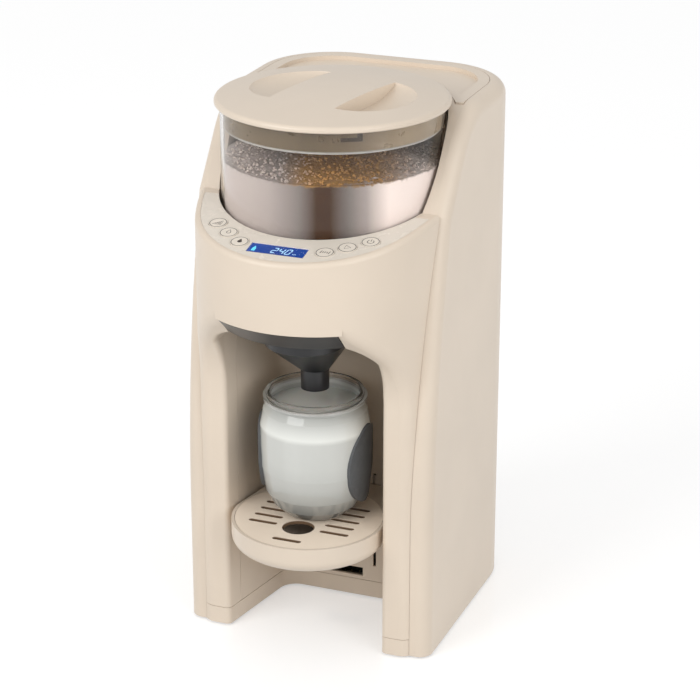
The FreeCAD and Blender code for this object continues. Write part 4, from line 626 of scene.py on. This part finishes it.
class MakePowder(bpy.types.Operator):
    """Fill the container with powder: smooth against the wall, coarse on top"""
    bl_idname = "formula_maker.powder"
    bl_label = "Powder"

    rings = 96
    turns = 300

    # Lumps, grains and dust on the top: how close they lie, and their height in millimetres. It
    # fades towards the wall, where wall_share of it is left.
    lump_scale, grain_scale, dust_scale = 55.0, 420.0, 900.0
    lump_height, grain_height, dust_height = 1.5, 1.3, 0.5
    wall_fade, wall_share = 9.0, 0.35

    # Loose crumbs: the seed of their places, how far out they lie as a share of the radius, then in
    # millimetres their sizes and how high they stand over the powder.
    crumb_seed = 7
    crumb_reach = 0.975
    crumb_sizes = (0.5, 1.5)
    crumb_rise = (0.2, 1.1)

    # The top's colour starts a little over the powder's edge, along a ragged line.
    ragged_rise = 0.006
    top_start, top_full = 0.0018, 0.0034

    def execute(self, context):
        settings = context.scene.formula_maker.powder
        low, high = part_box("powder")
        radius = (high.x - low.x) / 2
        form = bmesh.new()
        self.spin_body(form, radius, low.z, settings)
        self.roughen(form, radius, settings)
        packed = make_piece("powder_fill", form, self.powder_finish(context, settings), "container", 60)
        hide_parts("powder")
        loose = make_piece("powder_crumbs", self.crumbs(radius, settings),
                           self.crumb_finish(context), "container", 80)
        return {"FINISHED"}

    @staticmethod
    def height(settings, share):
        """The powder's height at a share of the radius, before the crumbs."""
        return settings.level + settings.heap * (0.5 + 0.5 * math.cos(math.pi * share))

    def spin_body(self, form, radius, floor, settings):
        """Spins the powder's half outline round the container's axis."""
        top = [(radius * step / self.rings, self.height(settings, step / self.rings))
               for step in range(self.rings + 1)]
        side = [(radius, floor + (settings.level - floor) * share) for share in (0.9, 0.6, 0.3, 0.0)]
        points = top + side + [(radius * 0.5, floor), (0.0, floor)]
        verts = [form.verts.new(JAR + Vector((across, 0.0, height))) for across, height in points]
        edges = [form.edges.new(pair) for pair in zip(verts, verts[1:])]
        bmesh.ops.spin(form, geom=verts + edges, cent=JAR, axis=(0.0, 0.0, 1.0), angle=math.tau,
                       steps=self.turns, use_merge=True)
        bmesh.ops.remove_doubles(form, verts=form.verts, dist=1e-6)

    def roughen(self, form, radius, settings):
        """Lifts and drops the top's points, for lumps and crumbs."""
        for vert in form.verts:
            if vert.co.z < settings.level - 0.1 * MM:
                continue
            away = vert.co - JAR
            share = math.hypot(away.x, away.y) / radius
            lumps = noise.fractal(away * self.lump_scale, 0.9, 2.0, 4) * self.lump_height * MM
            grains = abs(noise.noise(away * self.grain_scale)) * self.grain_height * MM
            grains += noise.noise(away * self.dust_scale) * self.dust_height * MM
            vert.co.z += (lumps + grains) * min(1.0, (1.0 - share) * self.wall_fade + self.wall_share)

    def crumbs(self, radius, settings):
        """Loose crumbs scattered over the top."""
        form = bmesh.new()
        pick = random.Random(self.crumb_seed)
        for _ in range(settings.crumbs):
            share = math.sqrt(pick.random()) * self.crumb_reach
            angle = pick.random() * math.tau
            size = pick.uniform(*self.crumb_sizes) * MM
            centre = JAR + Vector((math.cos(angle) * share * radius, math.sin(angle) * share * radius,
                                   self.height(settings, share) + pick.uniform(*self.crumb_rise) * MM))
            stretch = Matrix.Diagonal((pick.uniform(0.7, 1.2), pick.uniform(0.7, 1.2),
                                       pick.uniform(0.6, 1.0), 1.0))
            turn = Matrix.Rotation(pick.random() * math.tau, 4, "Z")
            bmesh.ops.create_icosphere(form, subdivisions=1, radius=size,
                                       matrix=Matrix.Translation(centre) @ turn @ stretch)
        return form

    def powder_finish(self, context, settings):
        """Powder with a brown band in front and pale to each side by a painted reflection of the lamps,
        and a golden layer on top, pale to its sides by the same painted reflection.
        """
        pale = chosen(context, "pale_powder")
        brown = chosen(context, "brown_powder")
        golden = chosen(context, "golden_powder")
        finish = Finish("formula_powder")
        across = show_side_share(finish)
        # Painted reflection: pale and brighter to the sides, brown in the middle where none is painted.
        side = finish.ramp(across, (0.04, scaled(pale, 0.82)), (0.22, scaled(pale, 0.6)),
                           (0.35, scaled(pale, 0.32)), (0.43, brown), (0.49, brown),
                           (0.57, scaled(pale, 0.26)), (0.65, scaled(pale, 0.52)),
                           (0.75, scaled(pale, 1.36)))
        top = finish.ramp(across, (0.06, scaled(pale, 0.66)), (0.26, scaled(pale, 0.42)),
                          (0.38, scaled(golden, 0.72)), (0.6, scaled(golden, 0.6)),
                          (0.7, scaled(golden, 0.62)), (0.86, scaled(pale, 0.8)))
        edge = finish.work_out("MULTIPLY_ADD", finish.noise(240.0, 4.0), self.ragged_rise,
                               finish.axis("Z", finish.place))
        is_top = finish.span(edge, 0.0, 1.0, settings.level + self.top_start,
                             settings.level + self.top_full)
        colour = finish.mix(is_top, side, top)
        grain = finish.cells(700.0)
        pits = finish.ramp(grain, (0.0, (0.66, 0.64, 0.6)), (0.6, WHITE))
        speckle = finish.mix(finish.span(is_top, 0.12, 0.6), WHITE, pits)
        finish.drive("Base Color", finish.mix(1.0, colour, speckle, "MULTIPLY"))
        finish.bump(finish.work_out("MULTIPLY", grain, finish.span(is_top, 0.08, 1.0)), 0.5, 0.0006,
                    finish.bump(finish.noise(1500.0, 3.0), 0.2, 0.0002))
        return finish.set(Roughness=0.9, Specular_IOR_Level=0.2)

    @staticmethod
    def crumb_finish(context):
        """Golden crumbs in front and pale ones to the sides by a painted reflection of the lamps, each
        unevenly toned.
        """
        finish = Finish("powder_crumb")
        pale, golden = chosen(context, "pale_powder"), chosen(context, "golden_powder")
        # Painted reflection: pale to the sides, golden in front.
        base = finish.ramp(show_side_share(finish), (0.1, scaled(pale, 1.1)), (0.3, scaled(pale, 0.85)),
                           (0.44, scaled(golden, 1.4)), (0.7, scaled(golden, 1.0)),
                           (0.88, scaled(pale, 1.0)))
        shade = finish.ramp(finish.noise(900.0, 3.0), (0.3, (0.5, 0.47, 0.42)), (0.7, WHITE))
        finish.drive("Base Color", finish.mix(1.0, base, shade, "MULTIPLY"))
        finish.bump(finish.noise(2200.0, 3.0), 0.5, 0.0003)
        return finish.set(Roughness=0.88, Specular_IOR_Level=0.2)


class MakePanel(bpy.types.Operator):
    """Finish the control panel and print each button's ring and symbol"""
    bl_idname = "formula_maker.panel"
    bl_label = "Control panel"

    # In millimetres: the printed ring's radius and the height of a filled mark.
    ring_radius = 5.95
    fill_rise = 0.08

    def execute(self, context):
        plastic = chosen(context, "panel")
        dress(moulded("panel_plastic", plastic, 0.26), "control_panel")
        dress(moulded("button_plastic", scaled(plastic, 1.05), 0.32), *SYMBOLS)
        ink = moulded("button_ink", chosen(context, "ink"), 0.5)
        for button, symbol in SYMBOLS.items():
            low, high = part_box(button)
            # The top face slopes from the front of the button's box up to the top of it.
            radius = (high.x - low.x) / 2
            middle = ((low.x + high.x) / 2, low.y + radius * math.cos(PANEL_TILT),
                      high.z - radius * math.sin(PANEL_TILT))
            place = tilted(middle) @ Matrix.Scale(MM, 4)
            strokes, fills = symbol()
            ring = arc(self.ring_radius, 0, 360, 48)[:-1]
            form = bmesh.new()
            trace(form, strokes + [(ring, True)], INK_WIDTH, place)
            for outline in fills:
                fill(form, outline, self.fill_rise, place)
            make_piece(button + "_print", form, ink, button)
        return {"FINISHED"}


class MakeDisplay(bpy.types.Operator):
    """Light the display: a blue screen with a bottle mark and the volume, under clear glass"""
    bl_idname = "formula_maker.display"
    bl_label = "Display"

    # The glass's share of the window's thickness, then in millimetres how far the glass and the
    # screen stay from the cut between them, and the height of a lit mark.
    glass_share = 0.45
    glass_gap = 0.05
    screen_gap = 0.1
    mark_rise = 0.05

    # Along the panel: where the screen's shade starts and ends, the first digit's left edge, a
    # digit's width, the step to the next one, and the width of a lit strip.
    screen_ends = (-0.0225, 0.0195)
    digit_start = -0.0037
    digit_width = 0.0032
    digit_pitch = 0.0051
    strip_width = 0.00072

    # Short bars for the unit: how many, their distance from the digits, foot, height, step and width.
    unit_bars = 3
    unit_gap = 0.0004
    unit_foot = -0.0030
    unit_height = 0.0014
    unit_pitch = 0.0010
    unit_width = 0.0004

    def execute(self, context):
        settings = context.scene.formula_maker.display
        low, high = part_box("display_window")
        form = bmesh.new()
        form.from_mesh(NODES["display_window"].data)
        bmesh.ops.remove_doubles(form, verts=form.verts, dist=1e-6)
        tilt = Matrix.Rotation(-PANEL_TILT, 4, "X")
        flat = [tilt @ vert.co for vert in form.verts]
        floor, top = min(point.z for point in flat), max(point.z for point in flat)
        split = top - (top - floor) * self.glass_share
        up = tilt.inverted() @ Vector((0.0, 0.0, 1.0))
        middle = (low + high) / 2
        level = tilt.inverted() @ Vector((middle.x, (tilt @ middle).y, split))
        screen = form.copy()
        screen_level = level - up * self.screen_gap * MM
        self.cut(form, level + up * self.glass_gap * MM, -up)
        self.cut(screen, screen_level, up)
        pane = clear("display_glass", srgb(250, 250, 252), ior=1.12)
        glass = make_piece("display_glass", form, pane, "machine")
        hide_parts("display_window")
        lit = make_piece("display_screen", screen, self.screen_finish(context), "machine")
        self.marks(settings, tilted(screen_level))
        return {"FINISHED"}

    @staticmethod
    def cut(form, level, away):
        """Cuts off what lies on the far side of a plane and closes the cut."""
        parts = form.verts[:] + form.edges[:] + form.faces[:]
        bmesh.ops.bisect_plane(form, geom=parts, plane_co=level, plane_no=away, clear_outer=True)
        bmesh.ops.holes_fill(form, edges=[edge for edge in form.edges if edge.is_boundary])

    def marks(self, settings, place):
        """The lit digits, the unit's bars and the bottle mark."""
        form = bmesh.new()
        text = str(settings.volume)
        for position, digit in enumerate(text):
            left = self.digit_start + self.digit_pitch * position
            for outline in digit_outlines(digit, left, self.digit_width, settings.digit_height,
                                          self.strip_width):
                fill(form, outline, self.mark_rise * MM, place)
        unit_start = self.digit_start + self.digit_pitch * len(text) + self.unit_gap
        for bar in range(self.unit_bars):
            left = unit_start + self.unit_pitch * bar
            outline = strip((left, self.unit_foot), (left, self.unit_foot + self.unit_height),
                            self.unit_width)
            fill(form, outline, self.mark_rise * MM, place)
        light = self.lit_finish("display_digit", srgb(176, 222, 246))
        make_piece("display_digits", form, light, "machine")
        form = bmesh.new()
        fill(form, self.bottle_outline(), self.mark_rise * MM, place)
        light = self.lit_finish("display_mark", srgb(96, 206, 240))
        make_piece("display_bottle_mark", form, light, "machine")

    @staticmethod
    def bottle_outline():
        """A small baby bottle: body, shoulder and teat."""
        left, foot = -0.0186, -0.0036
        reach = 1.35
        half = [(reach, 0.0), (reach, 3.6), (0.75, 4.3), (0.75, 5.0), (0.4, 5.2), (0.4, 6.2)]
        right_side = [(left + (reach + x) * MM, foot + y * MM) for x, y in half]
        left_side = [(left + (reach - x) * MM, foot + y * MM) for x, y in reversed(half)]
        return right_side + left_side

    def screen_finish(self, context):
        """Blue light, a little brighter towards the ends, over a faint grid of dots."""
        finish = Finish("display_light")
        glow = chosen(context, "glow")
        along = finish.span(finish.axis("X", finish.place), 0.0, 1.0, *self.screen_ends)
        shade = finish.ramp(along, (0.0, scaled(glow, 1.2)), (0.5, scaled(glow, 0.88)),
                            (1.0, scaled(glow, 1.1)))
        dots = finish.span(finish.cells(2600.0), 0.94, 1.0, 0.1, 0.4)
        finish.drive("Emission Color", finish.mix(dots, scaled(glow, 0.8), shade))
        return finish.set(Base_Color=scaled(glow, 0.1), Roughness=0.3, Specular_IOR_Level=0.1,
                          Emission_Strength=context.scene.formula_maker.display.strength)

    @staticmethod
    def lit_finish(name, colour):
        """A lit mark, a little uneven."""
        finish = Finish(name)
        shade = finish.ramp(finish.noise(900.0, 2.0), (0.3, scaled(colour, 0.92)), (0.7, colour))
        finish.drive("Emission Color", shade)
        return finish.set(Base_Color=scaled(colour, 0.4), Roughness=0.4, Emission_Strength=1.0)


class FinishFunnel(bpy.types.Operator):
    """Finish the mixing funnel and its cover in dark glossy plastic"""
    bl_idname = "formula_maker.funnel"
    bl_label = "Mixing funnel"

    def execute(self, context):
        dress(moulded("dark_plastic", chosen(context, "dark"), 0.3, 0.05), "mixing_funnel", "funnel_cover")
        return {"FINISHED"}


class FinishTray(bpy.types.Operator):
    """Finish the bottle tray and its grate"""
    bl_idname = "formula_maker.tray"
    bl_label = "Bottle tray"

    # How far under the grate's top the painted shade of the slots starts and is full, in millimetres.
    shade_start, shade_full = 0.1, 0.9

    def execute(self, context):
        sand = chosen(context, "sand")
        # Painted light and shade: the tray is a slightly darker copy of the sand plastic, and the grate,
        # in the head's shade, a much lighter one.
        dress(moulded("tray_plastic", scaled(sand, 0.97), 0.3), "bottle_tray")
        dress(self.grate_plastic(scaled(sand, 1.24)), "tray_grate")
        return {"FINISHED"}

    def grate_plastic(self, colour):
        """Finely grained plastic, with shade painted down in the slots and the drain hole."""
        finish = Finish("grate_plastic")
        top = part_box("tray_grate")[1].z
        raised = finish.span(finish.axis("Z", finish.place), 0.0, 1.0, top - self.shade_full * MM,
                             top - self.shade_start * MM)
        # Painted shade in the slots and the drain hole.
        finish.drive("Base Color", finish.mix(raised, srgb(118, 94, 72), flow_mottle(finish, colour)))
        return moulded_skin(finish, 0.34, 0.12)


class FinishBottle(bpy.types.Operator):
    """Finish the bottle, the milk in it and its grip pads"""
    bl_idname = "formula_maker.bottle"
    bl_label = "Bottle"

    # Heights over the milk's surface: where the white wall turns clear, and where its painted shade and
    # highlight run.
    clear_span = (0.0055, 0.008)
    shade_span = (-0.084, 0.004)

    def execute(self, context):
        milk = chosen(context, "milk")
        dress(self.glass_finish(milk), "baby_bottle")
        dress(self.milk_finish(milk), "bottle_milk")
        dress(soft("grip_rubber", chosen(context, "grip"), 0.5), "bottle_grips")
        return {"FINISHED"}

    def glass_finish(self, milk):
        """Clear glass at the neck and milk-white where the milk wets the wall, with shade painted along
        the edges and towards the bottom and a highlight painted on the shoulder.
        """
        finish = Finish("bottle_glass")
        height = finish.axis("Z", finish.place)
        above, share = (finish.span(height, 0.0, 1.0, *(BOTTLE_FILL + edge for edge in span))
                        for span in (self.clear_span, self.shade_span))
        # Painted shade along the neck's edges.
        neck_painted_edges = finish.mix(finish.edge_share(0.58, 0.88), srgb(236, 232, 228), srgb(44, 36, 31))
        # Painted shade towards the bottom and a painted highlight band on the shoulder.
        level = finish.ramp(
            share, (0.0, scaled(milk, 0.3)), (0.1, scaled(milk, 0.42)), (0.22, scaled(milk, 0.64)),
            (0.36, scaled(milk, 0.86)), (0.55, milk), (0.77, scaled(milk, 1.02)),
            (0.81, scaled(milk, 1.35)), (0.88, scaled(milk, 1.12)), (0.97, scaled(milk, 0.8)))
        swirl = finish.ramp(finish.noise(20.0, 3.0), (0.3, (0.97, 0.97, 0.97)), (0.7, WHITE))
        # Painted shade along the body's edges.
        body = finish.mix(finish.edge_share(0.8, 1.0), level, scaled(milk, 0.3))
        milk_wall_painted_light = finish.mix(1.0, body, swirl, "MULTIPLY")
        finish.drive("Base Color", finish.mix(above, milk_wall_painted_light, neck_painted_edges))
        finish.drive("Transmission Weight", above)
        finish.drive("Roughness", finish.span(finish.noise(30.0, 4.0), 0.015, 0.05, 0.4, 0.75))
        finish.pass_lamps(srgb(240, 238, 235), above)
        return finish.set(IOR=1.5)

    @staticmethod
    def milk_finish(colour):
        """Milk with a faint swirl and a few small bubbles."""
        finish = Finish("formula_milk")
        swirl = finish.noise(24.0, 3.0)
        finish.drive("Base Color", finish.ramp(swirl, (0.3, scaled(colour, 0.96)), (0.7, colour)))
        bubbles = finish.span(finish.cells(620.0), 1.0, 0.0, 0.1, 0.2)
        finish.bump(bubbles, 0.05, 0.0002)
        return finish.set(Roughness=0.18, Subsurface_Weight=0.25, Subsurface_Scale=0.003)


class FinishTank(bpy.types.Operator):
    """Finish the clear water tank"""
    bl_idname = "formula_maker.tank"
    bl_label = "Water tank"

    def execute(self, context):
        dress(clear("tank_plastic", srgb(224, 234, 242), roughness=0.04), "water_tank")
        return {"FINISHED"}


class SetStudio(bpy.types.Operator):
    """Set the floor, the lamps and the camera"""
    bl_idname = "formula_maker.studio"
    bl_label = "Studio"

    # The camera's place, its turn in degrees and the width of its film in millimetres.
    eye = (0.6108, -1.5402, 0.8584)
    eye_turn = (68.474, 0.0, 21.415)
    film_width = 36.0

    # Each lamp's edge and place, and the point that both face.
    key_size, key_place = 1.5, (-1.1, -2.0, 1.5)
    fill_size, fill_place = 1.6, (2.1, -1.2, 1.0)
    lamp_target = (0.0, 0.0, 0.22)

    # How strongly the floor glows where it is seen, which makes it white.
    floor_glow = 0.42

    def execute(self, context):
        studio = context.scene.formula_maker.studio
        self.lay_floor(studio)
        self.hang_lamp("key_lamp", studio.key, self.key_size, self.key_place)
        self.hang_lamp("fill_lamp", studio.fill, self.fill_size, self.fill_place)
        self.light_room(context, studio)
        self.place_camera(context, studio)
        context.scene.view_settings.view_transform = "Standard"
        return {"FINISHED"}

    def lay_floor(self, studio):
        """A plain pale floor that is white where it is seen and keeps the object's shadow."""
        form = bmesh.new()
        bmesh.ops.create_grid(form, x_segments=1, y_segments=1, size=studio.floor / 2)
        mesh = bpy.data.meshes.new("studio_floor")
        form.to_mesh(mesh)
        form.free()
        floor = bpy.data.objects.new("studio_floor", mesh)
        bpy.context.collection.objects.link(floor)
        finish = Finish("studio_floor")
        rays = finish.add("ShaderNodeLightPath").outputs
        through = finish.work_out("MAXIMUM", rays["Is Glossy Ray"], rays["Is Transmission Ray"])
        seen = finish.work_out("MAXIMUM", rays["Is Camera Ray"], through)
        finish.drive("Emission Strength", finish.span(seen, 0.0, self.floor_glow))
        finish.set(Base_Color=(0.72, 0.72, 0.72), Emission_Color=WHITE, Roughness=0.14,
                   Specular_IOR_Level=0.4)
        mesh.materials.append(finish.material)

    def hang_lamp(self, name, power, size, place):
        """A square lamp that faces the middle of the object."""
        lamp = bpy.data.lights.new(name, "AREA")
        lamp.shape = "SQUARE"
        lamp.size = size
        lamp.energy = power
        holder = bpy.data.objects.new(name, lamp)
        holder.location = place
        towards = Vector(self.lamp_target) - Vector(place)
        holder.rotation_euler = towards.to_track_quat("-Z", "Y").to_euler()
        bpy.context.collection.objects.link(holder)

    @staticmethod
    def light_room(context, studio):
        """An even room light, plain white where it is seen directly or through glass."""
        world = bpy.data.worlds.new("studio_room")
        context.scene.world = world
        world.use_nodes = True
        tree = world.node_tree
        background = tree.nodes["Background"]
        path = tree.nodes.new("ShaderNodeLightPath")
        strength = tree.nodes.new("ShaderNodeMapRange")
        strength.inputs["To Min"].default_value = studio.world
        strength.inputs["To Max"].default_value = 1.0
        seen = tree.nodes.new("ShaderNodeMath")
        seen.operation = "MAXIMUM"
        tree.links.new(path.outputs["Is Camera Ray"], seen.inputs[0])
        tree.links.new(path.outputs["Is Transmission Ray"], seen.inputs[1])
        tree.links.new(seen.outputs[0], strength.inputs["Value"])
        tree.links.new(strength.outputs["Result"], background.inputs["Strength"])
        background.inputs["Color"].default_value = (1.0, 1.0, 1.0, 1.0)

    def place_camera(self, context, studio):
        lens = bpy.data.cameras.new("studio_camera")
        lens.lens = studio.lens
        lens.sensor_width = self.film_width
        camera = bpy.data.objects.new("studio_camera", lens)
        camera.location = self.eye
        camera.rotation_euler = [math.radians(angle) for angle in self.eye_turn]
        bpy.context.collection.objects.link(camera)
        context.scene.camera = camera


# ---- panel and registration ---------------------------------------------------------------------

OPERATORS = (
    FinishCasings, FinishWorks, FinishContainer, MakePowder, MakePanel, MakeDisplay, FinishFunnel,
    FinishTray, FinishBottle, FinishTank, SetStudio,
)


class FormulaMakerPanel(bpy.types.Panel):
    bl_idname = "VIEW3D_PT_formula_maker"
    bl_label = "Formula maker"
    bl_space_type = "VIEW_3D"
    bl_region_type = "UI"
    bl_category = "Formula Maker"

    def draw(self, context):
        settings = context.scene.formula_maker
        for group in (settings.colours, settings.powder, settings.display, settings.studio):
            box = self.layout.box()
            for name in group.bl_rna.properties.keys():
                if name not in ("rna_type", "name"):
                    box.prop(group, name)
        for operator in OPERATORS:
            self.layout.operator(operator.bl_idname)


CLASSES = (
    FormulaMakerColours, FormulaMakerPowder, FormulaMakerDisplay, FormulaMakerStudio,
    FormulaMakerSettings, *OPERATORS, FormulaMakerPanel,
)


def register():
    for each in CLASSES:
        bpy.utils.register_class(each)
    bpy.types.Scene.formula_maker = PointerProperty(type=FormulaMakerSettings)


def unregister():
    del bpy.types.Scene.formula_maker
    for each in reversed(CLASSES):
        bpy.utils.unregister_class(each)


def main():
    register()
    for operator in OPERATORS:
        group, name = operator.bl_idname.split(".")
        getattr(getattr(bpy.ops, group), name)()


if __name__ == "__main__":
    main()
